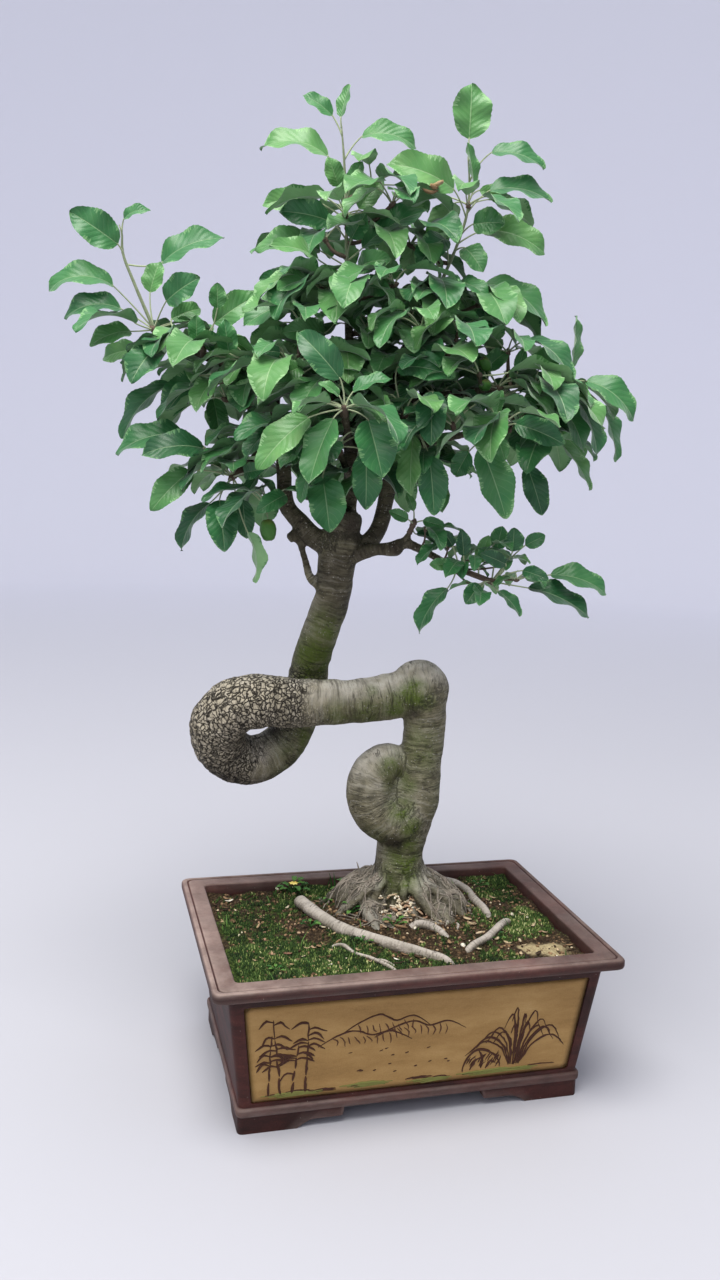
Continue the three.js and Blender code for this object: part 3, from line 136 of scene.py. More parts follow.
SIDE_BRANCHES = {
    "b": [[-238, 16, 633, 4.5], [-243, 2, 634, 4.2], [-246, -7, 635, 3.8]],
    "c": [[-208, 14, 615, 5], [-220, 26, 612, 4.4], [-229, 34, 610, 3.8]],
    "d": [[-160, 8, 557, 7], [-170, 4, 543, 7.5], [-186, -2, 526, 5.5], [-204, -8, 508, 4.2]],
    "e": [[-151, 0, 490, 5.5], [-160, -10, 484, 4.6], [-167, -19, 476, 3.8]],
    "f": [[-80, 12, 537, 6], [-82, -20, 548, 5], [-83, -60, 559, 4.4], [-85, -101, 573, 3.8]],
    "n": [[-78, 10, 505, 5.5], [-84, -25, 518, 4.6], [-90, -60, 534, 3.8]],
    "q": [[-86, 8, 593, 5.5], [-112, -20, 600, 4.4], [-141, -44, 616, 3.8]],
    "p": [[-32, 16, 550, 5.5], [-27, -15, 560, 4.6], [-23, -51, 572, 3.8]],
    "i": [[-30, 14, 595, 6], [7, 0, 599, 5], [45, -12, 605, 4.4], [72, -18, 609, 3.8]],
    "k": [[-31, 16, 533, 6], [8, -25, 549, 5], [45, -56, 558, 4.4], [71, -67, 563, 3.8]],
    "l": [[-18, -24, 434, 5], [-12, -26, 443, 4], [-9, -27, 450, 3.5]],
    "j": [[45, -12, 605, 4.4], [87, 0, 588, 4.2], [132, 8, 561, 3.8]],
    "r": [[-26, 12, 643, 5], [-8, -12, 634, 4.2], [6, -31, 626, 3.8]],
    "s": [[-173, 10, 592, 6], [-185, 50, 600, 5], [-198, 96, 612, 4]],
    "t": [[-86, 8, 593, 6], [-100, 50, 610, 5], [-118, 108, 640, 4]],
    "u": [[-30, 14, 606, 6], [-22, 55, 626, 5], [-14, 108, 660, 4]],
    "x": [[-31, 16, 562, 6], [15, 50, 575, 5], [62, 86, 588, 4]],
    "y": [[-37, 14, 482, 6], [-40, 55, 495, 5], [-52, 98, 515, 4]],
    "z": [[-158, 6, 530, 6], [-158, 50, 528, 5], [-150, 92, 536, 4]],
}
FLARE_ROOTS = [
    [[-8, 2, 30, 17], [-34, 8, 10, 14], [-62, 16, 1, 9.5], [-92, 26, -20, 5]],
    [[-8, -6, 28, 15], [-26, -24, 9, 11], [-36, -48, 1, 8], [-32, -78, -22, 5]],
    [[4, -8, 26, 14], [12, -32, 6, 10], [16, -56, -3, 7], [22, -82, -24, 4]],
    [[8, -4, 28, 15], [32, -20, 9, 11], [54, -38, 0, 8], [74, -64, -22, 4.5]],
    [[8, 4, 28, 15], [38, 12, 8, 11], [64, 22, -2, 8], [90, 30, -24, 4.5]],
    [[0, 10, 26, 14], [6, 38, 6, 10], [14, 64, -4, 7], [22, 86, -24, 4]],
]
FOOT_SHOULDERS = [[-38, -2, 8, 44, 30, 25], [42, -8, 3, 37, 28, 20]]
FOLDED_KNOB = [
    [-4, 0, 176, 16], [-22, -5, 178, 22], [-38, -8, 164, 26], [-42, -10, 139, 27.5], [-29, -10, 113, 28],
    [-5, -8, 104, 27], [14, -4, 119, 24],
]
KNOBS = [[11, -3, 264, 35, 30, 36], [-8, 2, 126, 30, 24, 46]]
CUT_STUB = [[-118, 2, 436, 7], [-134, 0, 442, 6], [-147, -4, 434, 6]]
GRAFTED_STRAND = [
    [-138, 0, 436, 4], [-134, 0, 430, 4], [-127, 0, 410, 4], [-120, -2, 390, 5.5], [-106, 2, 380, 7],
]
DEAD_SLIVER = [[-78, -10, 440, 6], [-74, -16, 466, 4], [-71, -18, 492, 1.2]]
SURFACE_ROOTS = {
    "surface_root_front": [[-122, -8, 10, 7.5], [-92, -52, 4, 7.5], [-60, -84, 3, 7], [-14, -114, 3, 6.5],
        [26, -130, 2, 6], [48, -141, -2, 5.5], [58, -146, -14, 4.5]],
    "surface_root_arch": [[22, 90, -14, 4], [40, 92, 0, 4.5], [66, 86, 2, 5], [85, 60, 2, 5], [92, 28, 2, 5],
        [104, -14, 1, 4.5], [108, -32, -14, 4]],
    "surface_root_right": [[138, -8, -14, 4], [124, -34, 1, 4.5], [97, -83, 2, 4.5], [76, -108, 1, 4.5],
        [62, -120, -14, 4]],
}
# This year's shoots above four of the hearts, measured from them
SHOOTS = {
    "a": [[0, 0, 0, 3.6], [-22, 0, 48, 3], [-36, 0, 83, 2.6], [-37, 0, 104, 1.8], [-40, 0, 112, 1.2]],
    "g": [[0, 0, 0, 3.8], [-2, 0, 58, 3.2], [-4, 0, 96, 2.8], [-8, 0, 147, 2.2], [-12, 0, 182, 1.4]],
    "h": [[0, 0, 0, 3.8], [12, 0, 28, 3.2], [24, 0, 60, 2.8], [32, 0, 90, 2.6], [33, 0, 120, 2],
        [30, 0, 150, 1.4]],
    "i": [[0, 0, 0, 3.6], [35, 0, 5, 3], [73, 0, 10, 2.6], [84, 0, 12, 1.6]],
}
# Each spray's heart on the tree's axes, its leaves by the rule in the solids, and those added here
ROSETTES = {
    "a": ([-307, 20, 663], 1, 3), "b": ([-246, -15, 639], 1, 4), "c": ([-235, 40, 610], 2, 4),
    "d": ([-211, -10, 502], 2, 6), "e": ([-171, -26, 469], 2, 5), "f": ([-86, -110, 577], 2, 5),
    "n": ([-92, -68, 539], 1, 5), "p": ([-22, -60, 575], 1, 5), "g": ([-90, 0, 700], 1, 6),
    "h": ([8, 20, 711], 1, 6), "i": ([81, -20, 610], 2, 5), "k": ([80, -70, 565], 2, 5),
    "j": ([141, 10, 557], 3, 4), "l": ([-6, -28, 458], 0, 0), "m": ([85, -30, 397], 0, 0),
    "q": ([-149, -50, 621], 2, 5), "r": ([11, -40, 624], 3, 5), "s": ([-202, 105, 614], 5, 4),
    "t": ([-122, 116, 644], 5, 4), "u": ([-12, 116, 664], 4, 4), "x": ([70, 92, 590], 3, 4),
    "y": ([-55, 106, 519], 4, 3), "z": ([-148, 100, 538], 5, 4),
}
# Leaves that stand where the photograph has them, from the heart: base, tip, width seen (below 0 where
# the underside shows), arch in degrees and, on a shoot, the stalk's foot
LEADING_LEAVES = {
    "a": [[-40, -5, 90, -90, -20, 120, 40, 35, -35, 0, 80], [-35, 0, 118, -5, 0, 128, 14, 90, -37, 0, 104],
        [-45, -5, 45, -115, -15, 35, 28, 105], [-35, -10, 20, -95, -25, 5, 26, 90],
        [-22, -20, -5, -62, -45, -25, 24, 60], [-20, 12, -20, -65, 28, -32, 24, 40],
        [10, -35, -25, -10, -75, -65, 38, 60], [-5, 0, 40, 5, 5, 75, 26, 30],
        [15, -10, 30, 55, -25, 55, 34, 40], [5, 10, 75, 75, 10, 105, 32, 60, -32, 0, 70]],
    "b": [[15, 0, 45, 15, -5, 72, 20, 15], [10, 10, 30, 60, 20, 65, 34, 40],
        [30, -12, -5, 25, -18, 32, 24, 20], [-5, -15, 8, -5, -20, 35, 20, 20],
        [-40, 15, 35, -10, 30, 50, 24, 50]],
    "c": [[-20, -10, 5, -60, -25, -45, 38, 60], [-55, 0, -5, -110, -5, -70, 28, 60],
        [-5, -12, -20, 5, -22, -68, 24, 30], [20, 10, -10, 50, 20, -20, 26, 50]],
    "d": [[-30, -20, 30, -95, -40, 20, 30, 70], [-55, 0, 45, -130, -10, 20, 28, 60],
        [-45, -15, 5, -85, -35, -40, 32, 50], [-25, 0, -30, -55, -10, -85, 22, 60],
        [-10, -35, -25, 0, -60, -80, 36, 30], [20, -15, -60, 30, -25, -115, -18, 60],
        [10, 10, -25, 15, 15, -70, 24, 30], [15, -25, 5, 40, -45, 10, 20, 40]],
    "e": [[22, -6, 16, -8, -30, -4, 22, 50]],
    "f": [[-5, 0, 30, -50, 5, 75, 34, 50], [-5, -6, 12, -27, -8, 24, 10, 60], [8, 0, 17, 48, 0, 32, 14, 50],
        [-10, -15, -10, -32, -32, -78, 32, 25], [25, -10, -10, 42, -28, -68, 42, 20],
        [-35, -5, -10, -85, -15, -65, 34, 40]],
    "n": [[-15, -12, -32, -5, -28, -90, 42, 25], [30, -8, -5, 32, -20, -65, 34, 25],
        [-25, -15, -20, -35, -25, -60, 16, 30]],
    "p": [[10, -10, -20, 10, -18, -85, 26, 15], [28, -20, 25, 28, -42, -32, 34, 30],
        [28, -5, -40, 36, -12, -105, 34, 20], [-10, 0, 50, 50, -20, 40, 30, 60]],
    "g": [[-45, -5, 105, -95, -10, 95, 26, 50, -4, 0, 86], [-20, -15, 80, -75, -30, 85, 32, 50, -3, 0, 65],
        [-25, 0, 150, -100, 0, 155, 28, 80, -7, 0, 132], [10, 0, 172, 70, 0, 162, 26, 80, -8, 0, 147],
        [-22, 0, 192, -55, 0, 212, 18, 40, -11, 0, 172], [-13, -2, 190, -5, 0, 225, 14, 10, -12, 0, 180],
        [-12, -20, 115, -25, -30, 142, 22, 30, -4, 0, 98], [0, -15, 115, 12, -20, 142, 18, 30, -4, 0, 102],
        [10, 5, 98, 35, 10, 130, 26, 40, -4, 0, 84], [-30, -10, 50, -100, -20, 45, 30, 80, -1, 0, 36],
        [-30, -25, 35, -80, -50, 40, 20, 50, -1, 0, 28], [-50, -10, 15, -95, -25, 15, 26, 60],
        [-25, -35, 10, -70, -80, -5, 22, 60], [-40, -15, -3, -110, -35, -35, 32, 50],
        [-35, 15, -5, -65, 35, -15, 20, 40], [-22, -20, -38, -67, -40, -42, 30, 70],
        [3, -16, 62, 18, -22, 88, 26, 20, -1, 0, 42], [15, -5, 55, 85, -15, 95, 30, 40, -1, 0, 42],
        [12, -20, 32, 47, -45, 38, 26, 70, -1, 0, 26], [30, 10, 30, 62, 20, 36, 24, 70],
        [18, -25, 12, 48, -55, 4, 26, 50], [22, -15, -28, 32, -25, -68, 18, 20],
        [32, 5, -22, 77, 15, -28, -32, 30]],
    "h": [[55, -5, 15, 125, -15, -30, 28, 70], [22, -20, 10, 57, -45, -10, 20, 90],
        [30, -10, -30, 80, -20, -40, 22, 90], [8, -15, 60, -22, -30, 25, 32, 80, 14, 0, 32],
        [55, 0, 155, 115, 0, 140, 24, 60, 33, 0, 124], [55, 0, 115, 125, 0, 105, 26, 60, 32, 0, 90],
        [30, 0, 168, 30, 0, 226, 46, 15, 31, 0, 145], [15, -20, 110, -60, -35, 130, 38, 60, 31, 0, 86],
        [38, 6, 120, 27, 6, 162, 14, 10, 33, 0, 102], [38, -15, 76, 72, -25, 76, 32, 40, 27, 0, 68],
        [50, -5, 72, 120, -10, 48, 34, 70, 24, 0, 58], [30, -20, 50, 50, -36, 22, 28, 50, 21, 0, 50],
        [46, 20, 120, 82, 36, 110, 20, 50, 32, 0, 98], [-25, 15, 60, -31, 20, 25, -24, 20, 10, 0, 24]],
    "i": [[-15, 12, 20, 10, 22, 42, 22, 60], [20, -3, 18, 26, -3, 44, 14, 10, 20, 0, 3],
        [-20, -20, 2, -62, -40, 8, 24, 40], [97, 5, 12, 152, 0, -30, 30, 80, 80, 0, 11],
        [82, 10, 26, 82, 10, 82, 14, 8, 76, 0, 10], [68, 15, 28, 38, 30, 38, 26, 60, 66, 0, 9],
        [80, -20, -5, 106, -40, -70, 24, 40, 72, 0, 10], [118, 18, -12, 140, 18, -75, 20, 30, 78, 0, 11],
        [55, -8, -6, 95, -18, -66, 30, 60, 38, 0, 5]],
    "k": [[14, -10, 5, 66, -22, -15, 28, 40], [-5, 0, 14, 0, 0, 40, 12, 10],
        [-5, -12, -8, 5, -18, -34, 17, 20], [-20, -10, -20, 10, -22, -95, 40, 20],
        [-30, 20, -25, -42, 36, -52, 24, 40]],
    "j": [[-20, -10, -30, 0, -16, -85, 30, 20], [20, 0, -5, 55, 0, -55, 18, 30],
        [20, 20, 10, 52, 26, -20, 22, 50]],
    "l": [[10, 0, 4, 36, 0, -2, 14, 50], [0, 0, 14, -10, 0, 34, 10, 30], [-6, -10, 5, -28, -12, 14, 14, 30],
        [4, 10, -12, 42, 12, -30, 12, 60]],
    "m": [[-50, -10, 18, -72, -15, 18, 15, 30, -40, 1, 13], [-46, 0, 38, -58, 0, 56, 14, 20, -37, 1, 12],
        [-34, -10, 28, -38, -12, 58, 18, 20, -30, 0, 10], [-15, 0, 20, -6, 0, 52, 16, 20, -15, 0, 5],
        [5, 12, 35, 10, 14, 62, 22, 20], [20, -10, 35, 20, -12, 62, 24, 10], [35, 0, 42, 57, 0, 54, 18, 20],
        [12, -22, 22, -18, -34, 34, 18, 30], [30, -25, 16, 57, -42, 8, 16, 40],
        [65, 0, 10, 130, 0, -10, 22, 60], [40, -10, -5, 110, -20, -35, 20, 40],
        [5, -20, -8, 30, -32, -34, 13, 40], [-15, -16, -2, -30, -22, -24, 22, 20],
        [-50, -12, -8, -80, -18, -60, 18, 50, -40, 1, 13]],
    "q": [[-8, -8, 15, -38, -12, 15, 22, 40], [15, -18, 0, -10, -34, -16, 24, 50]],
}
# Young apples: place, half width and half height, and the spray that they hang from
FRUITS = {
    "fruit_left": ([-168, -28, 445], [9.5, 12], "e"),
    "fruit_right_upper": ([64, -34, 634], [6.5, 8], "i"),
    "fruit_right_lower": ([64, -44, 611], [6.5, 8], "i"),
}

FRONT = place(0, -1, 0) - TREE_FOOT
FOLD, WAVE, WIDE_BLADE = 0.3, 0.075, 0.52
CORE_RADIUS, CLEAR_OF_LEAF, CLEAR_OF_WOOD = 6.5, 6, 3.2
GOLDEN_ANGLE, TURN_STEP, TURNS_TRIED = 2.39996, 0.55, 12
# A whole turn, near enough for what is scattered
FULL_TURN = 6.28
LEAF_SEED = 2026
DEPTH_SHIFTS = [0, -8, 8, -16, 16, -25, 25, -35, 35]


def unit(vector):
    return vector / norm(vector)


class Course:
    """A smooth course through given points, the same that the solids' wood follows."""

    def __init__(self, points):
        self.points = np.array(points, float)
        samples = np.array([self.at(i / 200) for i in range(201)])
        steps = norm(np.diff(samples, axis=0), axis=1)
        self.lengths = np.concatenate([[0], np.cumsum(steps)])
        self.length = self.lengths[-1]

    def at(self, t):
        points = self.points
        last = len(points) - 1
        lower = min(int(last * t), last - 1)
        share = last * t - lower
        before = points[lower - 1] if lower > 0 else 2 * points[0] - points[1]
        after = points[lower + 2] if lower + 2 <= last else 2 * points[last] - points[last - 1]
        if last == 1:
            before = after
        x0, x1, x2, x3 = before, points[lower], points[lower + 1], after
        d0, d1, d2 = (max(((b - a) @ (b - a)) ** 0.25, 1e-4) for a, b in ((x0, x1), (x1, x2), (x2, x3)))
        leave = ((x1 - x0) / d0 - (x2 - x0) / (d0 + d1) + (x2 - x1) / d1) * d1
        arrive = ((x2 - x1) / d1 - (x3 - x1) / (d1 + d2) + (x3 - x2) / d2) * d1
        square = (-3 * x1 + 3 * x2 - 2 * leave - arrive) * share ** 2
        return x1 + leave * share + square + (2 * x1 - 2 * x2 + leave + arrive) * share ** 3

    def share(self, along):
        return float(np.interp(along * self.length, self.lengths, np.linspace(0, 1, 201)))


def course_of(rows):
    return Course([place(*row[:3]) for row in rows])


def even_samples(course, rows, count):
    """Points at even lengths along a course, with the radii that its rows give."""
    shares = [course.share(i / count) for i in range(count + 1)]
    radii = np.interp(shares, np.linspace(0, 1, len(rows)), [row[3] for row in rows])
    return np.array([course.at(share) for share in shares]), radii


class Leaf:
    """A leaf from its foot on the shoot to its tip, its midrib an arc through base and tip."""

    def __init__(self, foot, base, tip, width, arch, towards, roll, phase):
        chord = tip - base
        self.length = float(norm(chord))
        self.chord = chord = chord / self.length
        square_on = unit(towards - chord * (towards @ chord))
        upper = np.cross(chord, square_on)
        if upper[2] < -1e-6:
            upper = -upper
        self.upper = upper = unit(upper * cos(roll) + square_on * sin(roll))
        self.radius = self.length / 2 / sin(arch / 2)
        self.across = np.cross(chord, upper)
        self.start = chord * cos(arch / 2) + upper * sin(arch / 2)
        reach = norm(base - foot)
        self.bend = (foot + base) / 4 + (base - self.start * 0.45 * reach) / 2
        self.foot, self.base = foot, base
        self.width, self.arch, self.phase = width, arch, phase

    def midrib(self, t):
        angle = self.arch * (np.asarray(t, float)[..., None] - 0.5)
        sag = self.radius * cos(self.arch / 2)
        point = self.base + self.chord * (self.length / 2 + self.radius * np.sin(angle))
        point = point + self.upper * (self.radius * np.cos(angle) - sag)
        return point, self.upper * np.cos(angle) + self.chord * np.sin(angle)

    def petiole(self, t):
        t = np.asarray(t, float)[..., None]
        return self.foot * (1 - t) ** 2 + self.bend * 2 * t * (1 - t) + self.base * t ** 2

    def half(self, t):
        rounded = np.maximum(np.sin(pi * np.power(t, 0.82)), 0) ** 0.72
        return self.width / 2 * rounded * (1 - 0.22 * t * t)

    def wave(self, t, sign):
        swing = np.sin(2 * pi * (2.2 * t + self.phase) + sign)
        return WAVE * self.width * swing * np.minimum(1, 4 * t)

    def edge(self, t, sign):
        point, normal = self.midrib(t)
        half = self.half(t)
        out = self.across * (sign * half * cos(FOLD))[..., None]
        return point + out + normal * (half * sin(FOLD) + self.wave(t, sign))[..., None]

    def spread(self):
        """Points over the blade and the stalk, by which leaves keep clear of each other."""
        rows = max(4, math.floor(self.length / 8 + 0.5))
        t = np.arange(rows + 1) / rows
        middle = self.midrib(t)[0]
        inner = slice(1, rows)
        points = [middle]
        for sign in (-1, 1):
            edge = self.edge(t[inner], sign)
            points += [edge, (middle[inner] + edge) / 2]
        return np.concatenate(points), self.petiole(np.array([0.45, 0.7, 0.9]))


class Taken:
    """Places that are already taken, with the distance that each keeps."""

    def __init__(self):
        self.points = np.zeros((90000, 3))
        self.reach = np.zeros(90000)
        self.owner = np.zeros(90000, int)
        self.count = 0

    def add(self, points, reach, owner):
        span = slice(self.count, self.count + len(points))
        self.points[span], self.reach[span], self.owner[span] = points, reach, owner
        self.count += len(points)

    def near(self, points, distance, others_than=None, only=None):
        margin = distance + 40
        seen, reach, owner = (values[:self.count] for values in (self.points, self.reach, self.owner))
        within = np.all((seen > points.min(0) - margin) & (seen < points.max(0) + margin), axis=1)
        if others_than is not None:
            within &= owner != others_than
        if only is not None:
            within &= owner == only
        gaps = norm(points[:, None] - seen[within][None], axis=2)
        return bool((gaps < distance + reach[within][None]).any())


wood_taken, blades_taken, stalks_taken = Taken(), Taken(), Taken()
OWNERS = {name: number for number, name in enumerate(["trunk", *ROSETTES, *FRUITS])}


def take_wood(rows, owner):
    course = course_of(rows)
    points, radii = even_samples(course, rows, max(2, math.ceil(course.length / 5)))
    wood_taken.add(points, radii, OWNERS[owner])


def is_clear(leaf, owner, ease=1.0):
    blade, stalk = leaf.spread()
    number = OWNERS[owner]
    apart = CLEAR_OF_LEAF * ease
    return not (
        wood_taken.near(blade, CLEAR_OF_WOOD * ease)
        or wood_taken.near(stalk, CLEAR_OF_WOOD * ease, others_than=number)
        or blades_taken.near(blade, apart)
        or blades_taken.near(stalk, 0.8 * apart)
        or stalks_taken.near(blade, 0.6 * apart, only=number)
        or stalks_taken.near(blade, 0.8 * apart, others_than=number)
        or stalks_taken.near(stalk, 0.8 * apart, others_than=number)
    )


def leading_leaf(name, row, phase):
    base, tip, seen, arch, foot = row[:3], row[3:6], row[6], row[7], row[8:] or [0, 0, 0]
    u, v, w = ROSETTES[name][0]
    width = max(abs(seen), WIDE_BLADE * math.dist(tip, base))
    roll = math.copysign(math.asin(min(0.98, abs(seen) / width)), seen)
    for shift in DEPTH_SHIFTS:
        leaf = Leaf(
            place(u + foot[0], v + foot[1], w + foot[2]),
            place(u + base[0], v + base[1] + 0.6 * shift, w + base[2]),
            place(u + tip[0], v + tip[1] + shift, w + tip[2]),
            width, radians(arch), FRONT, roll, phase,
        )
        if is_clear(leaf, name):
            return leaf
    return None


def level_way(heading):
    return np.array([cos(heading), sin(heading), 0.0])


def more_leaf(heart, count, draw, owner="trunk", ease=1.0, size=1.0):
    """A leaf of the rule: it stands out from its heart, and turns round it until it is clear."""
    stalk = size * (16 + 16 * next(draw))
    length = size * (46 + 34 * next(draw))
    width = length * (0.5 + 0.1 * next(draw))
    rise = radians(5 + 50 * next(draw))
    droop = radians(5 + 40 * next(draw))
    arch = radians(35 + 45 * next(draw))
    roll = radians(-20 + 40 * next(draw))
    phase = next(draw)
    for attempt in range(TURNS_TRIED):
        out = level_way(GOLDEN_ANGLE * count + TURN_STEP * attempt)
        base = heart + (out * cos(rise) + UP * sin(rise)) * stalk
        tip = base + (out * cos(droop) - UP * sin(droop)) * length
        leaf = Leaf(heart, base, tip, width, arch, UP, pi / 2 - roll, phase)
        if is_clear(leaf, owner, ease):
            return leaf
    return None


def shoot_rows(name):
    at = ROSETTES[name][0]
    return [[at[0] + u, at[1] + v, at[2] + w, radius] for u, v, w, radius in SHOOTS[name]]


def wood_of(name):
    ends = {"a": LEFT_LIMB, "g": CENTRE_LIMB, "h": RIGHT_LIMB, "m": LOW_TWIG}
    return ends.get(name) or SIDE_BRANCHES[name]


def keep_leaf(leaf, owner, kept):
    blade, stalk = leaf.spread()
    blades_taken.add(blade, 0, OWNERS[owner])
    stalks_taken.add(stalk, 0, OWNERS[owner])
    kept.append(leaf)


def grow_leaves():
    """The leaves of the solids, found again by the same rule from the same seed."""
    main = [TRUNK, TRUNK_LOOP, LEFT_LIMB, CENTRE_LIMB, RIGHT_LIMB, LOW_TWIG, CUT_STUB, GRAFTED_STRAND]
    for rows in [*main, *SIDE_BRANCHES.values()]:
        take_wood(rows, "trunk")
    for name, (at, _, _) in ROSETTES.items():
        if name in SHOOTS:
            take_wood(shoot_rows(name), name)
        take_wood([wood_of(name)[-1], [*at, CORE_RADIUS]], name)
    for name, (at, (radius, tall), spray) in FRUITS.items():
        low = [at[0], at[1] - 0.5, at[2] - tall * 0.6, radius * 0.8]
        take_wood([[*ROSETTES[spray][0], 1], [*at, radius], low], name)
    grown = {name: [] for name in ROSETTES}
    draw = draw_from(LEAF_SEED)
    for name, rows in LEADING_LEAVES.items():
        for row in rows:
            leaf = leading_leaf(name, row, next(draw))
            if leaf:
                keep_leaf(leaf, name, grown[name])
    for name, (at, more, _) in ROSETTES.items():
        for count in range(more):
            leaf = more_leaf(place(*at), count, draw, name)
            if leaf:
                keep_leaf(leaf, name, grown[name])
    return grown, draw


# Materials


def hue(code):
    """An sRGB hex value as linear colour."""
    parts = [int(code[i:i + 2], 16) / 255 for i in (1, 3, 5)]
    return [((part + 0.055) / 1.055) ** 2.4 if part > 0.04045 else part / 12.92 for part in parts] + [1.0]


def size_of(millimetres):
    """A texture's scale for a feature of this size, on coordinates in metres."""
    return 1000 / millimetres


# A mixing node keeps its two colours in inputs 6 and 7
MIX_GAP = [None] * 5


class Surface:
    """A new material with its shader, its colour and relief made of nodes."""

    def __init__(self, name, roughness=0.6, ior=1.45, specular=0.5):
        self.material = bpy.data.materials.new(name)
        self.material.use_nodes = True
        self.tree = self.material.node_tree
        self.shader = self.tree.nodes["Principled BSDF"]
        self.set(Roughness=roughness, IOR=ior, Specular_IOR_Level=specular)

    def set(self, **values):
        for name, value in values.items():
            self.shader.inputs[name.replace("_", " ")].default_value = value

    def add(self, kind, *feeds, stops=(), out=0, **named):
        """Adds a node, its kind followed by its operation. A small name is a setting, any other an input."""
        kind, _, operation = kind.partition(" ")
        made = self.tree.nodes.new("ShaderNode" + kind)
        if operation:
            made.operation = operation
        for name in [name for name in named if name[0].islower()]:
            setattr(made, name, named.pop(name))
        for name, value in [*enumerate(feeds), *named.items()]:
            if isinstance(value, bpy.types.NodeSocket):
                self.tree.links.new(value, made.inputs[name])
            elif value is not None:
                made.inputs[name].default_value = value
        for _ in stops[2:]:
            made.color_ramp.elements.new(0.5)
        for element, (at, shade) in zip(made.color_ramp.elements if stops else (), stops):
            element.position = at
            element.color = hue(shade)
        return made.outputs[out]

    def layered(self, tone, layers):
        """Lays shades over a tone in turn, each through its mask and at its strength."""
        for mask, strength, shade in layers:
            share = self.add("Math MULTIPLY", mask, strength, use_clamp=True)
            tone = self.add("Mix", share, *MIX_GAP, tone, hue(shade), data_type="RGBA", out=2)
        return tone

    def dress(self, tone, height, depth, strength=0.5):
        """Gives the surface its colour and its relief, the height's unit being depth in millimetres."""
        self.tree.links.new(tone, self.shader.inputs["Base Color"])
        bump = self.add("Bump", Strength=strength, Distance=depth * MM, Height=height)
        self.tree.links.new(bump, self.shader.inputs["Normal"])
        return self.material


def leaf_material(name, shades, vein_shade, roughness):
    """Apple leaf. The blade is quilted between its veins, and each leaf has its own tint: its age, and painted
    light and shade by its height.
    """
    skin = Surface(name, roughness, 1.42)
    add = skin.add
    spot = add("Attribute", attribute_name="pattern", out="Vector")
    tint = add("Attribute", attribute_name="tint", out="Fac")
    aside = add("Math ABSOLUTE", add("SeparateXYZ", spot))
    along = add("SeparateXYZ", spot, out=1)
    where = add("TexCoord", out="Object")
    # Side veins leave the midrib every 7 mm or so and run forwards to the margin
    sweep = add("Math MULTIPLY_ADD", along, 9.0, add("Math MULTIPLY", aside, -2.2))
    stray = add("TexNoise", Vector=where, Scale=size_of(14), Detail=1.0)
    side = add("Math PINGPONG", add("Math MULTIPLY_ADD", stray, 0.7, sweep), 0.5)
    side_vein = add("MapRange", side, 0.0, 0.06, 0.26, 0.0)
    rib = add("MapRange", aside, 0.012, 0.045, 1.0, 0.0)
    veins = add("Math MAXIMUM", side_vein, rib)
    # The finest net of veins has meshes of about 1.8 mm
    net = add("TexVoronoi", feature="DISTANCE_TO_EDGE", Vector=where, Scale=size_of(1.8))
    cloud = add("TexNoise", Vector=where, Scale=size_of(22), Detail=3.0)
    # The tint holds each leaf's age and its painted light and shade
    aged = add("Math MULTIPLY_ADD", cloud, 0.26, tint)
    body = add("ValToRGB", add("Math SUBTRACT", aged, 0.13), stops=shades)
    tone = skin.layered(body, [(veins, 0.36, vein_shade)])
    sunk = add("Math SUBTRACT", add("Math MULTIPLY", side, 1.1), rib)
    fine = add("Math MULTIPLY_ADD", net, 0.35, sunk)
    # Down on the blade catches light at a low angle
    skin.set(Sheen_Weight=0.3, Sheen_Roughness=0.4)
    return skin.dress(tone, fine, 0.7, 0.55)


def stem_material(name, low, high, grain, roughness, sheen):
    """Soft green or brown shoot, its tone finely streaked along its length."""
    skin = Surface(name, roughness, 1.45)
    add = skin.add
    grown = add("Attribute", attribute_name="pattern", out="Vector")
    tint = add("Attribute", attribute_name="tint", out="Fac")
    streak = add("Mapping", Vector=grown, Scale=(1, 1, 0.3))
    fibre = add("TexNoise", Vector=streak, Scale=1 / grain, Detail=3.0)
    mixed = add("Math MULTIPLY_ADD", fibre, 0.5, tint)
    shade = add("ValToRGB", add("Math SUBTRACT", mixed, 0.25), stops=[(0.1, low), (0.9, high)])
    skin.set(Sheen_Weight=sheen)
    return skin.dress(shade, fibre, 0.25)


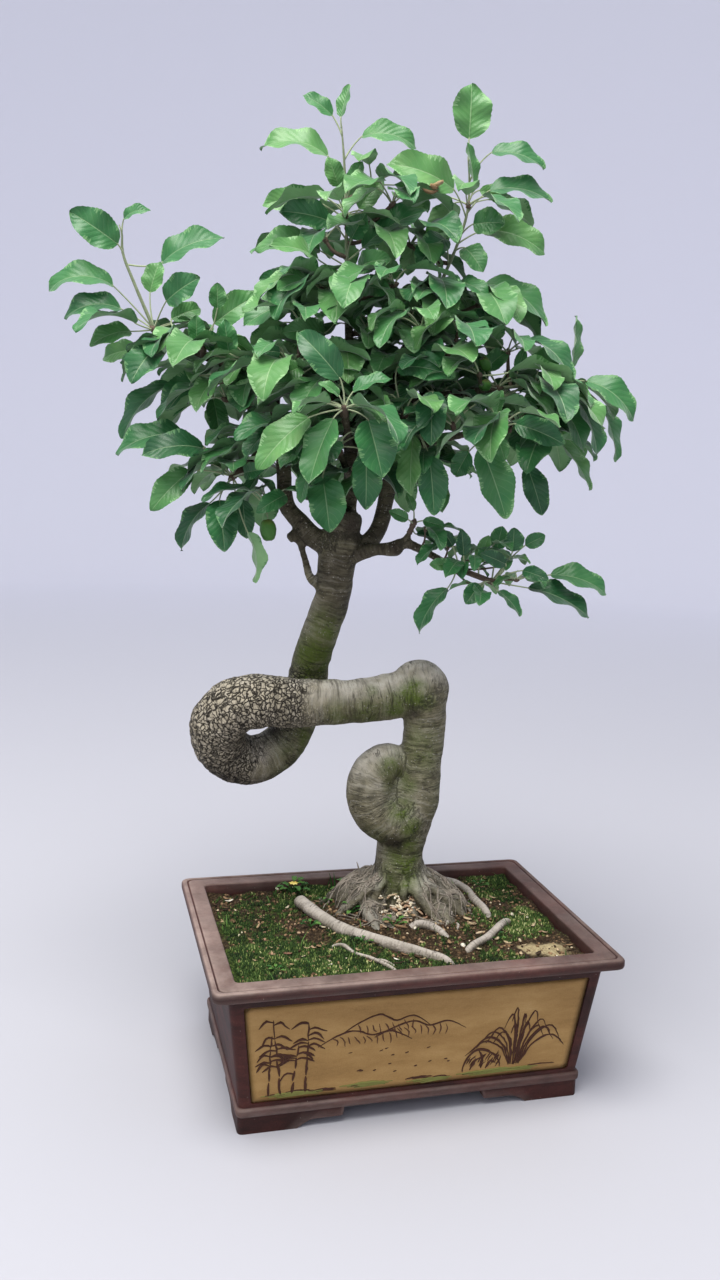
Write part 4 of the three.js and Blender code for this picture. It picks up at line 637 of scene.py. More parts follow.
def bark_material(name, shades, tick_shade, pale_shade, algae_shade, dark_shade, plate_shade, ringed):
    """Living apple bark: smooth, pale to the sky (sun-bleached, and a painted highlight) and olive below,
    ringed, and in plates where it is old.
    """
    skin = Surface(name, 0.74, 1.45, 0.35)
    add = skin.add
    grown = add("Attribute", attribute_name="pattern", out="Vector")
    aged = add("Attribute", attribute_name="tint", out="Fac")
    weather = add("Attribute", attribute_name="weather", out="Vector")
    # The first weather channel is paleness on sky-facing bark: sun bleaching and a painted highlight
    sky_bleach_and_highlight, algae, dark = (add("SeparateXYZ", weather, out=number) for number in range(3))
    where = add("TexCoord", out="Object")
    # Rings across the limb, about 3 mm apart and wavering; their creases are darkened, partly as painted shade,
    # and their ridges paled as a painted highlight
    waver = add("TexNoise", Vector=grown, Scale=1 / 22, Detail=2.0, out=1)
    swayed = add("VectorMath MULTIPLY_ADD", waver, (9, 9, 9), grown)
    across = add("Mapping", Vector=swayed, Scale=(1 / 44, 1 / 44, 1 / 3.6))
    folds = add("TexNoise", Vector=across, Scale=1.0, Detail=4.0, Roughness=0.6)
    crease_line_and_shade = add("MapRange", folds, 0.36, 0.48, 1.0, 0.0)
    ridge = add("MapRange", folds, 0.53, 0.64, 0.0, 1.0)
    # Ticks: hair-thin dark splits a few millimetres long, in patches
    dashed = add("Mapping", Vector=swayed, Scale=(1 / 9, 1 / 9, 1 / 1.5))
    dash = add("TexNoise", Vector=dashed, Scale=1.0, Detail=1.0)
    patchy = add("TexNoise", Vector=where, Scale=size_of(26), Detail=2.0)
    rare = add("MapRange", patchy, 0.36, 0.56, 0.1, 1.0)
    tick = add("Math MULTIPLY", add("MapRange", dash, 0.58, 0.66, 0.0, 1.0), rare)
    # Breathing pores: pale warts of 1 mm
    warts = add("TexVoronoi", Vector=where, Scale=size_of(4.5))
    wart = add("Math MULTIPLY", add("MapRange", warts, 0.1, 0.2, 1.0, 0.0), rare)
    # Old bark: plates of 4 by 6 mm between winding cracks
    swirl = add("TexNoise", Vector=grown, Scale=1 / 7, Detail=1.5, out=1)
    wound = add("VectorMath MULTIPLY_ADD", swirl, (10, 10, 10), grown)
    plated = add("Mapping", Vector=wound, Scale=(1 / 6.5, 1 / 6.5, 1 / 4))
    plates = add("TexVoronoi", feature="DISTANCE_TO_EDGE", Vector=plated, Scale=1.0)
    frayed = add("Math MULTIPLY_ADD", patchy, 0.8, aged)
    old = add("MapRange", frayed, 0.46, 1.0, 0.0, 1.0)
    split = add("Math MULTIPLY", add("MapRange", plates, 0.03, 0.17, 1.0, 0.0), old)
    mottle = add("TexNoise", Vector=where, Scale=size_of(11), Detail=7.0, Roughness=0.66)
    grit = add("TexNoise", Vector=where, Scale=size_of(2), Detail=3.0)
    tone = add("ValToRGB", mottle, stops=shades)
    green = add("Math MULTIPLY", add("Math MULTIPLY_ADD", grit, 1.3, 0.35), algae)
    tone = skin.layered(tone, [
        (sky_bleach_and_highlight, 0.8, pale_shade), (aged, 0.75, plate_shade), (ridge, 0.2, pale_shade),
        # Dark: dark bark, partly painted shade in creases and under overhangs
        (green, 1.0, algae_shade), (dark, 1.0, dark_shade), (wart, 0.6, pale_shade),
        (crease_line_and_shade, ringed, tick_shade), (tick, 0.62, tick_shade), (split, 1.0, tick_shade)])
    height = add("Math MULTIPLY_ADD", folds, 3.8 * ringed, grit)
    for mask, lift in ((tick, -0.4), (wart, 0.3), (split, -1.3)):
        height = add("Math MULTIPLY_ADD", mask, lift, height)
    return skin.dress(tone, height, 1.3, 1.0)


def earth_material(name):
    """Damp potting soil: dark crumbs with grit, greened where moss grows over it."""
    skin = Surface(name, 0.92, 1.4, 0.25)
    add = skin.add
    where = add("TexCoord", out="Object")
    mossed = add("Attribute", attribute_name="tint", out="Fac")
    crumbs = add("TexNoise", Vector=where, Scale=size_of(3), Detail=6.0, Roughness=0.7)
    grains = add("TexVoronoi", Vector=where, Scale=size_of(2.4))
    soil, felt, dry = (add("ValToRGB", crumbs, stops=stops) for stops in (
        [(0.3, "#15110b"), (0.52, "#35291c"), (0.66, "#6d5a42"), (0.78, "#a5947a")],
        [(0.3, "#0f1709"), (0.5, "#263614"), (0.62, "#4d5e29"), (0.78, "#8f955c")],
        [(0.3, "#75664a"), (0.6, "#b3a37e"), (0.8, "#d2c6a2")]))
    ragged = add("Math MULTIPLY_ADD", crumbs, 0.8, mossed)
    green = add("MapRange", ragged, 0.64, 0.88, 0.0, 1.0)
    sandy = add("MapRange", ragged, -0.2, 0.05, 1.0, 0.0)
    tone = add("Mix", green, *MIX_GAP, soil, felt, data_type="RGBA", out=2)
    tone = add("Mix", sandy, *MIX_GAP, tone, dry, data_type="RGBA", out=2)
    height = add("Math MULTIPLY_ADD", grains, -0.6, crumbs)
    return skin.dress(tone, height, 1.6, 0.9)


def plain_growth(name, shades, roughness=0.8, grain=1.5):
    """Small dull growth or litter, each bit with its own tone from the tint."""
    skin = Surface(name, roughness, 1.4, 0.3)
    add = skin.add
    where = add("TexCoord", out="Object")
    tint = add("Attribute", attribute_name="tint", out="Fac")
    speck = add("TexNoise", Vector=where, Scale=size_of(grain), Detail=2.0)
    level = add("Math SUBTRACT", add("Math MULTIPLY_ADD", speck, 0.3, tint), 0.15)
    return skin.dress(add("ValToRGB", level, stops=shades), speck, 0.3)


def clay_material(name, shades, roughness, grit_height, wear_shade, fleck_shade):
    """Unglazed stoneware, pressed in slabs: fine sand in it, smears from the wiping, edges rubbed paler."""
    skin = Surface(name, roughness, 1.5, 0.3)
    add = skin.add
    where = add("TexCoord", out="Object")
    smear = add("Mapping", Vector=where, Scale=(0.3, 0.3, 1.0))
    wiped = add("TexNoise", Vector=smear, Scale=size_of(26), Detail=6.0, Roughness=0.66)
    sand = add("TexNoise", Vector=where, Scale=size_of(1.3), Detail=2.0)
    level = add("Math SUBTRACT", add("Math MULTIPLY_ADD", sand, 0.25, wiped), 0.125)
    tone = add("ValToRGB", level, stops=shades)
    worn = add("Attribute", attribute_name="tint", out="Fac")
    # Rubbed edges and settled dust come and go along the rim
    dust = add("TexNoise", Vector=smear, Scale=size_of(9), Detail=5.0, Roughness=0.7)
    patch = add("MapRange", dust, 0.34, 0.66, 0.45, 1.0)
    rubbed = add("Math MULTIPLY", worn, patch)
    # Mineral flecks in the clay, under 1 mm
    flecks = add("TexVoronoi", Vector=where, Scale=size_of(9))
    fleck = add("MapRange", flecks, 0.03, 0.06, 0.5, 0.0)
    tone = skin.layered(tone, [(rubbed, 1.0, wear_shade), (fleck, 1.0, fleck_shade)])
    return skin.dress(tone, add("Math MULTIPLY_ADD", wiped, 2.0, sand), grit_height)


leaf_upper = leaf_material(
    "apple_leaf_upper_face", [(0.0, "#0b2b13"), (0.22, "#164627"), (0.44, "#2f6a39"), (0.68, "#4f8144"),
                              (0.86, "#769a5b"), (1.0, "#a3bb84")], "#acc797", 0.38)
leaf_under = leaf_material(
    "apple_leaf_downy_underside", [(0.0, "#3c6440"), (0.4, "#5f8c59"), (0.8, "#8bb27c"), (1.0, "#b3cf9c")],
    "#b4cca2", 0.72)
green_stem = stem_material("young_green_shoot", "#4c583c", "#a4b086", 1.2, 0.5, 0.4)
spur_wood = stem_material("brown_spur_wood", "#362a22", "#6f5f50", 1.6, 0.8, 0.0)
trunk_bark = bark_material(
    "living_apple_bark", [(0.28, "#47432f"), (0.44, "#605b44"), (0.58, "#777159"), (0.74, "#908a74")],
    "#1f1a11", "#b9b4a9", "#4a591a", "#2b221b", "#b5aa94", 0.5)
root_bark = bark_material(
    "weathered_root_bark", [(0.28, "#6a5f53"), (0.46, "#877c6f"), (0.6, "#9b9083"), (0.76, "#b0a79b")],
    "#33291f", "#cbc3b9", "#5f6438", "#3f342b", "#a89e8e", 0.2)
damp_soil = earth_material("damp_potting_soil")
moss_green = plain_growth("cushion_moss", [
    (0.0, "#101d0b"), (0.3, "#263d16"), (0.6, "#4d6430"), (0.85, "#8a9355"), (1.0, "#c4c68f")])
leaf_litter = plain_growth(
    "dry_leaf_litter", [(0.0, "#2b2018"), (0.35, "#5c4632"), (0.7, "#96795a"), (1.0, "#cdb894")], 0.85)
pale_chips = plain_growth(
    "pale_bark_chips", [(0.0, "#7d5a48"), (0.25, "#a8876c"), (0.55, "#cbbb9b"), (1.0, "#efe9d8")], 0.8)
yellow_petal = plain_growth("yellow_flower_petal", [(0.0, "#c9a227"), (1.0, "#f2e28a")], 0.6)
weed_green = plain_growth("small_weeds", [(0.0, "#1b3d18"), (0.5, "#336029"), (1.0, "#6f9547")], 0.55)
stoneware = clay_material(
    "purple_brown_stoneware", [(0.25, "#1b0b08"), (0.45, "#2f140f"), (0.62, "#451f19"), (0.8, "#62352c")],
    0.62, 0.35, "#a38f86", "#a89a92")
slip = clay_material(
    "ochre_slip", [(0.25, "#866639"), (0.45, "#997745"), (0.62, "#a68450"), (0.8, "#b39461")],
    0.66, 0.3, "#bda873", "#5d4630")
iron_line = plain_growth(
    "iron_brown_slip_line", [(0.0, "#2c1912"), (0.6, "#4a2d20"), (1.0, "#6a4733")], 0.6, 3)
green_wash = plain_growth("green_slip_wash", [(0.0, "#6b6c34"), (0.6, "#7e7f45"), (1.0, "#96955c")], 0.65, 4)
apple_skin = plain_growth(
    "unripe_apple_skin", [(0.0, "#2c5426"), (0.5, "#4c7a38"), (0.85, "#7d7a45"), (1.0, "#8c5d45")], 0.4, 3)
moulded_mesh = plain_growth("moulded_plastic_mesh", [(0.0, "#1f1f1f"), (1.0, "#2e2e2e")], 0.6, 2)


# Sheets: flat grids that are laid over a form, row by row


def mark(mesh, name, values):
    """Keeps a value or a vector for each point of a mesh, for its material to read."""
    kind, field = ("FLOAT", "value") if np.ndim(values) == 1 else ("FLOAT_VECTOR", "vector")
    mesh.attributes.new(name, kind, "POINT").data.foreach_set(field, np.ravel(values))


def linked(name, data):
    made = bpy.data.objects.new(name, data)
    bpy.context.collection.objects.link(made)
    return made


def closed(form, name):
    """A mesh of a form whose open ends are filled."""
    bmesh.ops.holes_fill(form, edges=[edge for edge in form.edges if edge.is_boundary])
    bmesh.ops.recalc_face_normals(form, faces=form.faces)
    return mesh_of(form, name)


def mesh_of(block, name):
    mesh = bpy.data.meshes.new(name)
    block.to_mesh(mesh)
    block.free()
    return mesh


class Heap:
    """Many sheets, each laid over its own form, gathered as one mesh."""

    def __init__(self):
        self.laid = {}

    def lay(self, points, pattern, tint, slots=(0,)):
        """Lays a sheet through rows and columns of points in millimetres of the pot's frame."""
        rows, columns = points.shape[0] - 1, points.shape[1] - 1
        if len(slots) == 1:
            slots = slots * columns
        tints = np.broadcast_to(np.asarray(tint, float), points.shape[:2])
        self.laid.setdefault((columns, rows, tuple(slots)), []).append((points, pattern, tints))

    def mesh(self, name):
        whole = bmesh.new()
        for (columns, rows, slots), items in self.laid.items():
            one = bmesh.new()
            bmesh.ops.create_grid(one, x_segments=columns, y_segments=rows, size=0.5)
            one.faces.ensure_lookup_table()
            for face in one.faces:
                column = min(columns - 1, int((face.calc_center_median().x + 0.5) * columns))
                face.material_index = slots[column]
                face.smooth = True
            sheet = mesh_of(one, "sheet")
            many = bmesh.new()
            for _ in items:
                many.from_mesh(sheet)
            many.to_mesh(sheet)
            many.free()
            points = np.concatenate([item[0].reshape(-1, 3) for item in items])
            sheet.vertices.foreach_set("co", in_row(points).ravel())
            mark(sheet, "pattern", np.concatenate([item[1].reshape(-1, 3) for item in items]))
            mark(sheet, "tint", np.concatenate([item[2].reshape(-1) for item in items]))
            whole.from_mesh(sheet)
            bpy.data.meshes.remove(sheet)
        bmesh.ops.remove_doubles(whole, verts=whole.verts, dist=1e-6)
        bmesh.ops.dissolve_degenerate(whole, edges=whole.edges, dist=1e-7)
        bmesh.ops.recalc_face_normals(whole, faces=whole.faces)
        for edge in whole.edges:
            edge.smooth = len({face.material_index for face in edge.link_faces}) == 1
        return mesh_of(whole, name)


def finish_piece(name, form, materials, replaced=None):
    """Puts a mesh or a heap in the scene as a piece of the part, on its one body."""
    piece = linked(name, form.mesh(name) if isinstance(form, Heap) else form)
    for material in materials:
        piece.data.materials.append(material)
    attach(piece, "root")
    if replaced:
        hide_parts(replaced)
    return piece


def frames_along(points):
    """For each point of a course, its way and two square directions that don't twist."""
    ways = np.gradient(points, axis=0)
    ways /= norm(ways, axis=1)[:, None]
    aside = np.cross(ways[0], UP if abs(ways[0][2]) < 0.9 else np.array([1.0, 0, 0]))
    first = []
    for way in ways:
        aside = unit(aside - way * (aside @ way))
        first.append(aside)
    first = np.array(first)
    return ways, first, np.cross(ways, first)


def tube_form(points, radii, sides, swell=None):
    """Rings round a course, closed at both ends, with their pattern coordinates in millimetres."""
    _, first, second = frames_along(points)
    angle = np.linspace(0, 2 * pi, sides + 1)
    angle[-1] = 0
    level, steep = np.cos(angle), np.sin(angle)
    along = steps_along(points)
    width = np.broadcast_to(np.asarray(radii, float), len(points))[:, None] * np.ones(sides + 1)
    if swell is not None:
        width = width * (1 + swell(angle[None], along[:, None]))
    rings = points[:, None] + width[..., None] * (
        first[:, None] * level[None, :, None] + second[:, None] * steep[None, :, None])
    pattern = np.stack([width * level, width * steep, np.broadcast_to(along[:, None], width.shape)], axis=2)
    caps = [np.broadcast_to(points[end], rings[end].shape)[None] for end in (0, -1)]
    pattern = np.concatenate([pattern[:1], pattern, pattern[-1:]])
    return np.concatenate([caps[0], rings, caps[1]]), pattern


def lay_tube(heap, points, radii, sides, tint=0.5, slot=0, swell=None):
    rings, pattern = tube_form(np.asarray(points, float), radii, sides, swell)
    shift = (np.sum(points[0]) * 7.3) % 500
    heap.lay(rings, pattern + shift, tint, (slot,))


def course_points(points, count):
    course = Course(points)
    return np.array([course.at(course.share(i / count)) for i in range(count + 1)])


def steps_along(points):
    """How far along its course each point lies."""
    return np.concatenate([[0], np.cumsum(norm(np.diff(points, axis=0), axis=1))])


# Sprays: toothed, folded blades on their stalks, short spurs and this year's shoots

SPRAY_MATERIALS = [leaf_upper, leaf_under, green_stem, spur_wood]
STEM, SPUR = 2, 3
BLADE_ACROSS = np.array([-1, -0.64, -0.09, 0, 0.09, 0.64, 1])
BLADE_SHEET = np.concatenate([BLADE_ACROSS, BLADE_ACROSS[-2::-1]])
BLADE_FACE = np.concatenate([np.full(7, 1.0), np.full(6, -1.0)])
BLADE_SLOTS = (0,) * 6 + (1,) * 6
TOOTH_PITCH, INNER_PITCH = 4.4, 6.5
# No leaf's margin leaves the solids' box
BOX_LOW, BOX_HIGH = (np.array(corner) / MM - POT_MIDDLE + step for corner, step in zip(cad_box, (0.2, -0.2)))


def lay_blade(heap, leaf, tint, slots=BLADE_SLOTS, teeth=0.035, pitch=TOOTH_PITCH):
    """A leaf's two faces, meeting at a toothed margin; the midrib stands out below and is sunk above."""
    rows = 2 * max(6, round(leaf.length / pitch))
    side = BLADE_SHEET[None]
    t = np.linspace(0, 1, rows + 1)[:, None] * np.ones_like(side)
    tooth = (np.arange(rows + 1) % 2)[:, None]
    margin = np.abs(side) ** 6 * tooth
    t = np.minimum(t + 0.4 / rows * margin, 1)
    point, normal = leaf.midrib(t)
    fuller = 1.03 + 0.85 * np.maximum(t - 0.48, 0)
    half = leaf.half(t) * fuller * (1 + teeth * margin)
    closing = np.minimum(1, 7 * np.minimum(t, 1 - t))
    rib = np.maximum(0, 1 - np.abs(side) / 0.09) * (1 - 0.8 * t)
    body = 0.24 * (1 - side ** 2) * BLADE_FACE - rib * np.where(BLADE_FACE > 0, 0.35, 0.75)
    lift = half * np.abs(side) ** 1.3 * sin(FOLD) + leaf.wave(t, np.sign(side)) * np.abs(side) ** 1.6
    ripple = 0.35 * np.sin(2 * pi * (9 * t - 2.2 * np.abs(side))) * np.abs(side) * (1 - np.abs(side))
    rise = lift + ripple + body * closing
    points = point + leaf.across * (side * half * cos(FOLD))[..., None] + normal * rise[..., None]
    points = np.clip(points, BOX_LOW, BOX_HIGH)
    pattern = np.stack([side * np.ones_like(t), t, np.full_like(t, leaf.phase)], axis=2)
    heap.lay(points, pattern, tint, slots)


def lay_leaf(heap, leaf, tint, pitch=TOOTH_PITCH):
    lay_blade(heap, leaf, tint, pitch=pitch)
    stalk = np.concatenate([leaf.petiole(np.linspace(0, 1, 8)), leaf.midrib(np.array([0.03]))[0]])
    lay_tube(heap, stalk, np.linspace(1.05, 0.75, 9), 6, 0.5 + 0.4 * leaf.phase, STEM)


def leaf_tint(leaf, chance):
    """Leaves are paler towards the top, younger there and with a painted highlight of the overhead light,
    darker lower down as painted shade, and each one differs at random.
    """
    middle = leaf.midrib(np.array([0.5]))[0][0]
    height = (middle[2] - 700) / 420
    return float(np.clip(0.48 + 0.14 * height + 0.44 * (chance - 0.5), 0.05, 0.68))


def lay_bud(heap, heart, way, size):
    """The knuckle of a spur: ringed scars below and a short scaly bud."""
    profile = [(-1.1, 0.55), (-0.6, 0.95), (-0.2, 0.8), (0.2, 1.0), (0.7, 0.85), (1.2, 0.5), (1.6, 0.12)]
    points = np.array([heart + way * (size * at) for at, _ in profile])
    lay_tube(heap, points, [size * radius for _, radius in profile], 8, 0.5, SPUR)


def lay_shoot(heap, rows):
    count = max(5, round(math.dist(rows[0][:3], rows[-1][:3]) / 6))
    points, radii = even_samples(course_of(rows), rows, count)
    lay_tube(heap, points, 0.62 * radii, 8, 0.3, STEM,
             lambda angle, along: 0.05 * np.sin(along * 0.7 + 2 * angle))


# Short spurs on the limbs inside the crown: the limb, the shares of its length, and the leaves of each
SPURS = [
    (LEFT_LIMB, [0.34, 0.42, 0.5, 0.57, 0.64, 0.71, 0.78, 0.86, 0.93], 5),
    (CENTRE_LIMB, [0.3, 0.4, 0.5, 0.6, 0.7, 0.8, 0.9, 1.0], 6),
    (RIGHT_LIMB, [0.36, 0.45, 0.53, 0.6, 0.68, 0.76, 0.84, 0.93, 1.0], 6),
    *[(SIDE_BRANCHES[name], shares, leaves) for name, shares, leaves in (
        ("f", [0.5], 5), ("q", [0.5], 5), ("k", [0.4, 0.7], 5), ("i", [0.45, 0.75], 5), ("j", [0.4, 0.7], 5),
        ("s", [0.6], 4), ("t", [0.4, 0.7], 5), ("u", [0.4, 0.7], 5), ("x", [0.4, 0.7], 5), ("y", [0.5], 4),
        ("z", [0.5], 4))],
]
# Twigs that fill the crown between the sprays: the place of each one's heart on the tree's axes
CROWN_TWIGS = [
    (-44, -10, 801), (-65, 15, 774), (-21, 35, 768), (-38, -30, 714), (-67, 10, 825), (-94, -20, 786),
    (41, 20, 810), (-73, -45, 705), (-116, -35, 705), (-116, 10, 765), (57, 10, 702), (-139, -30, 668),
    (-9, -50, 666), (33, -35, 664), (92, 0, 651), (120, -30, 614), (157, 20, 603), (56, -60, 620),
    (-103, -60, 593), (-147, -40, 604), (-193, -20, 625), (-221, -10, 587), (-135, -40, 545),
    (-174, -20, 528),
]
# Small new leaves along the low twig
LOW_LEAFLETS = [
    (34, -28, 433), (52, -20, 412), (63, -40, 421), (81, -28, 430), (100, -18, 414), (112, -34, 400),
    (72, -30, 387), (8, -26, 452),
]
SPUR_LEAF_EASE = 0.35
ROOM = 2.5


def has_place(leaf):
    """Whether a further leaf keeps within the solids' box and hangs before none of the young apples."""
    t = np.linspace(0, 1, 9)
    points = np.concatenate([leaf.edge(t, -1), leaf.midrib(t)[0], leaf.edge(t, 1)])
    for at, (radius, _), _ in FRUITS.values():
        off = points - place(*at)
        sight = unit(EYE - place(*at))
        ahead = off @ sight
        aside = norm(off - ahead[:, None] * sight, axis=1)
        if ((ahead > 4) & (aside < radius + 2)).any():
            return False
    low, high = np.array(cad_box[0]), np.array(cad_box[1])
    return bool((in_row(points) > low + ROOM * MM).all() and (in_row(points) < high - ROOM * MM).all())


def spray_heart(heap, name):
    """The short neck from the end of the wood to a spray's heart, and its bud."""
    wood = wood_of(name)
    end, heart = place(*wood[-1][:3]), place(*ROSETTES[name][0])
    way = unit(end - course_of(wood).at(0.9))
    reach = norm(heart - end)
    neck = course_points([end - way * 3, end + way * min(3, 0.4 * reach), heart], 6)
    lay_tube(heap, neck, np.linspace(wood[-1][3], 0.75 * wood[-1][3], 7), 9, 0.5, SPUR,
             lambda angle, along: 0.07 * np.sin(along * 1.9))
    lay_bud(heap, heart, unit(neck[-1] - neck[-2]), 4.2)


def make_sprays():
    grown, draw = grow_leaves()
    for name, (at, _, further) in ROSETTES.items():
        first = len(grown[name])
        for count in range(further):
            leaf = more_leaf(place(*at), first + count, draw, name, SPUR_LEAF_EASE)
            if leaf and has_place(leaf):
                keep_leaf(leaf, name, grown[name])
    chance = draw_from(11)
    for name in ROSETTES:
        heap = Heap()
        spray_heart(heap, name)
        if name in SHOOTS:
            lay_shoot(heap, shoot_rows(name))
        for leaf in grown[name]:
            lay_leaf(heap, leaf, leaf_tint(leaf, next(chance)))
        finish_piece(f"apple_spray_{name}", heap, SPRAY_MATERIALS, f"spray_{name}")
    make_inner_spurs(draw, chance)
    make_crown_twigs(draw, chance)


def grow_on(heap, heart, out, size, leaves, first, draw, chance):
    """A bud with a ring of leaves, each of them turned until it has room."""
    lay_bud(heap, heart, out, 3.4 * size ** 0.5)
    for count in range(leaves):
        leaf = more_leaf(heart, count + first, draw, "trunk", SPUR_LEAF_EASE, size)
        if leaf and has_place(leaf):
            keep_leaf(leaf, "trunk", [])
            lay_leaf(heap, leaf, leaf_tint(leaf, next(chance)), INNER_PITCH * size)


def make_inner_spurs(draw, chance):
    heap, number = Heap(), 0
    for rows, shares, leaves in SPURS:
        course = course_of(rows)
        for share in shares:
            t = course.share(share)
            at = course.at(t)
            radius = float(np.interp(t, np.linspace(0, 1, len(rows)), [row[3] for row in rows]))
            way = unit(course.at(min(1, t + 0.02)) - course.at(max(0, t - 0.02)))
            turn = GOLDEN_ANGLE * number
            out = unit(np.cross(way, [cos(turn), sin(turn), 0.4]))
            heart = at + out * (radius + 7)
            neck = [at + out * radius * 0.5, at + out * (radius + 3), heart]
            lay_tube(heap, neck, [3.4, 2.6, 2.8], 7, 0.5, SPUR)
            grow_on(heap, heart, out, 1.0, leaves, number, draw, chance)
            number += 1
    finish_piece("apple_inner_spurs", heap, SPRAY_MATERIALS)


def make_crown_twigs(draw, chance):
    limbs = [LEFT_LIMB[3:], CENTRE_LIMB[2:], RIGHT_LIMB[3:], LOW_TWIG[4:], *SIDE_BRANCHES.values()]
    limbs += [shoot_rows(name) for name in SHOOTS]
    wood = np.concatenate([course_points([place(*row[:3]) for row in rows], 12) for rows in limbs])
    heap = Heap()
    for number, spot in enumerate([*CROWN_TWIGS, *LOW_LEAFLETS]):
        heart = place(*spot)
        size, leaves = (0.5, 4) if spot in LOW_LEAFLETS else (1.0, 5)
        cost = norm(wood - heart, axis=1) + np.maximum(0, wood[:, 2] + 15 - heart[2])
        foot = wood[np.argmin(cost)]
        sag = 0.08 * norm(heart - foot) * np.array([cos(number), sin(number), -1])
        twig = course_points([foot, (foot + heart) / 2 + sag, heart], 8)
        lay_tube(heap, twig, size * np.linspace(2.6, 1.9, 9), 7, 0.5, SPUR,
                 lambda angle, along: 0.06 * np.sin(along * 0.9))
        grow_on(heap, heart, unit(twig[-1] - twig[-2]), size, leaves, number, draw, chance)
    # A withered leaf hangs curled near the top
    for number in range(3):
        at = place(-4 + 4 * number, -24, 810 + 4 * number)
        lay_flake(heap, at, 20, 9, 0.9 * number, 5, 0.6 + 0.1 * number, len(SPRAY_MATERIALS))
    finish_piece("apple_crown_twigs", heap, [*SPRAY_MATERIALS, leaf_litter])


# Wood: the limbs melted into one skin, wrinkled and cracked, with the roots that surface


def ball_form(u, v, w, half_u, half_v, half_w, columns=20, rows=12):
    """A round swelling of the wood, its half-axes along the tree's own axes."""
    turn = np.linspace(0, 2 * pi, columns + 1)
    turn[-1] = 0
    fall = np.linspace(0, pi, rows + 1)
    out = np.sin(fall)[:, None]
    ring = np.stack([half_u * out * np.cos(turn), half_v * out * np.sin(turn),
                     half_w * np.cos(fall)[:, None] * np.ones_like(turn)], axis=2)
    ring[0, :, :2] = ring[-1, :, :2] = 0
    points = np.array([[place(u + x, v + y, w + z) for x, y, z in row] for row in ring])
    return points, ring


def lumps(amount, seed):
    first, second, third = (2 * pi * value for _, value in zip(range(3), draw_from(seed)))

    def swell(angle, along):
        slow = np.sin(3 * angle + first + along * 0.022) * np.sin(along * 0.04 + second)
        wide = 0.6 * np.sin(2 * angle + third - along * 0.015)
        return amount * (slow + wide + 0.35 * np.sin(along * 0.21 + first))

    return swell


# Strands of root that run out over the foot: turn about the trunk in degrees, reach, thickness
FOOT_STRANDS = [
    (176, 96, 8), (196, 84, 4.5), (158, 92, 6), (212, 90, 6.5), (226, 62, 4.5), (284, 52, 4.5),
    (306, 80, 6.5), (321, 68, 4), (336, 92, 6), (352, 74, 4.5), (8, 92, 7), (30, 78, 5), (52, 88, 5),
    (78, 76, 6), (104, 80, 5), (130, 88, 7),
]


def foot_strand(turn, reach, radius):
    """Rows of one strand, from the trunk's side over its foot and into the soil."""
    ahead, aside = cos(radians(turn)), sin(radians(turn))
    high = 20 + 5 * abs(ahead)
    side = np.array([-aside, ahead]) * (9 * sin(turn * 1.7))
    spots = [(20, 58, 0.8), (31, 36, 1.0), (44, 10 + high * 0.8, 1.05), (0.72 * reach, 0.55 * high, 0.9),
             (reach, -12, 0.6)]
    rows = []
    for number, (out, w, thick) in enumerate(spots):
        shift = side * (0, 0.4, 1, 0.3, -1)[number]
        rows.append((out * ahead + shift[0] - 2, 0.86 * out * aside + shift[1], w, radius * thick))
    return rows


FRONT_STRAND = [
    (-20, -12, 22, 12), (-38, -24, 9, 11), (-36, -48, 3, 9.5), (-28, -70, -4, 7.5), (-24, -84, -14, 6),
]
CHOPPED_TOP = [(-87, -2, 428, 18), (-84, -6, 446, 18.5), (-81, -8, 462, 18.5), (-80, -8, 468, 16)]
LIMBS = [
    (TRUNK, 0.03, 3), (TRUNK_LOOP, 0.045, 5), (FOLDED_KNOB, 0.03, 10), (LEFT_LIMB, 0.06, 6),
    (CENTRE_LIMB, 0.06, 7), (RIGHT_LIMB, 0.06, 8), (LOW_TWIG, 0.07, 9), (CUT_STUB, 0.05, 12),
    (GRAFTED_STRAND, 0.05, 13), (DEAD_SLIVER, 0.1, 14),
    *[(rows, 0.06, 20 + number) for number, rows in enumerate(FLARE_ROOTS)],
    *[(rows, 0.06, 40 + number) for number, rows in enumerate(SIDE_BRANCHES.values())],
    *[(foot_strand(*strand), 0.12, 70 + number) for number, strand in enumerate(FOOT_STRANDS)],
    (CHOPPED_TOP, 0.1, 99), (FRONT_STRAND, 0.08, 98),
]
TWIG_KNOB = [-26, -22, 429, 11, 9, 9]
SKIN_VOXEL = 2.3 * MM
# Where algae greens the bark, and where it is darker: partly dark bark and the dark cut top, partly painted
# shade in creases and under the knob, the bend and the limbs; place on the tree's axes, reach and strength
ALGAE = [
    (-112, 6, 292, 46, 1.0), (-96, 0, 335, 34, 0.75), (-120, 16, 262, 40, 0.8), (-6, -34, 158, 26, 1.0),
    (-6, -34, 128, 24, 0.9), (8, -32, 106, 20, 0.7), (2, -28, 70, 34, 0.75), (-2, -28, 44, 34, 0.8),
    (12, -26, 196, 44, 0.5), (3, -30, 264, 24, 1.0), (18, -32, 258, 18, 0.7), (-18, -32, 250, 26, 0.75),
    (-50, -34, 236, 32, 0.6), (-84, -38, 240, 26, 0.45), (-45, -36, 267, 12, 0.5), (28, 18, 140, 50, 0.5),
    (-132, 28, 190, 50, 0.7), (-152, 22, 166, 34, 0.5), (-20, -28, 176, 20, 0.6), (-30, -26, 92, 24, 0.4),
]
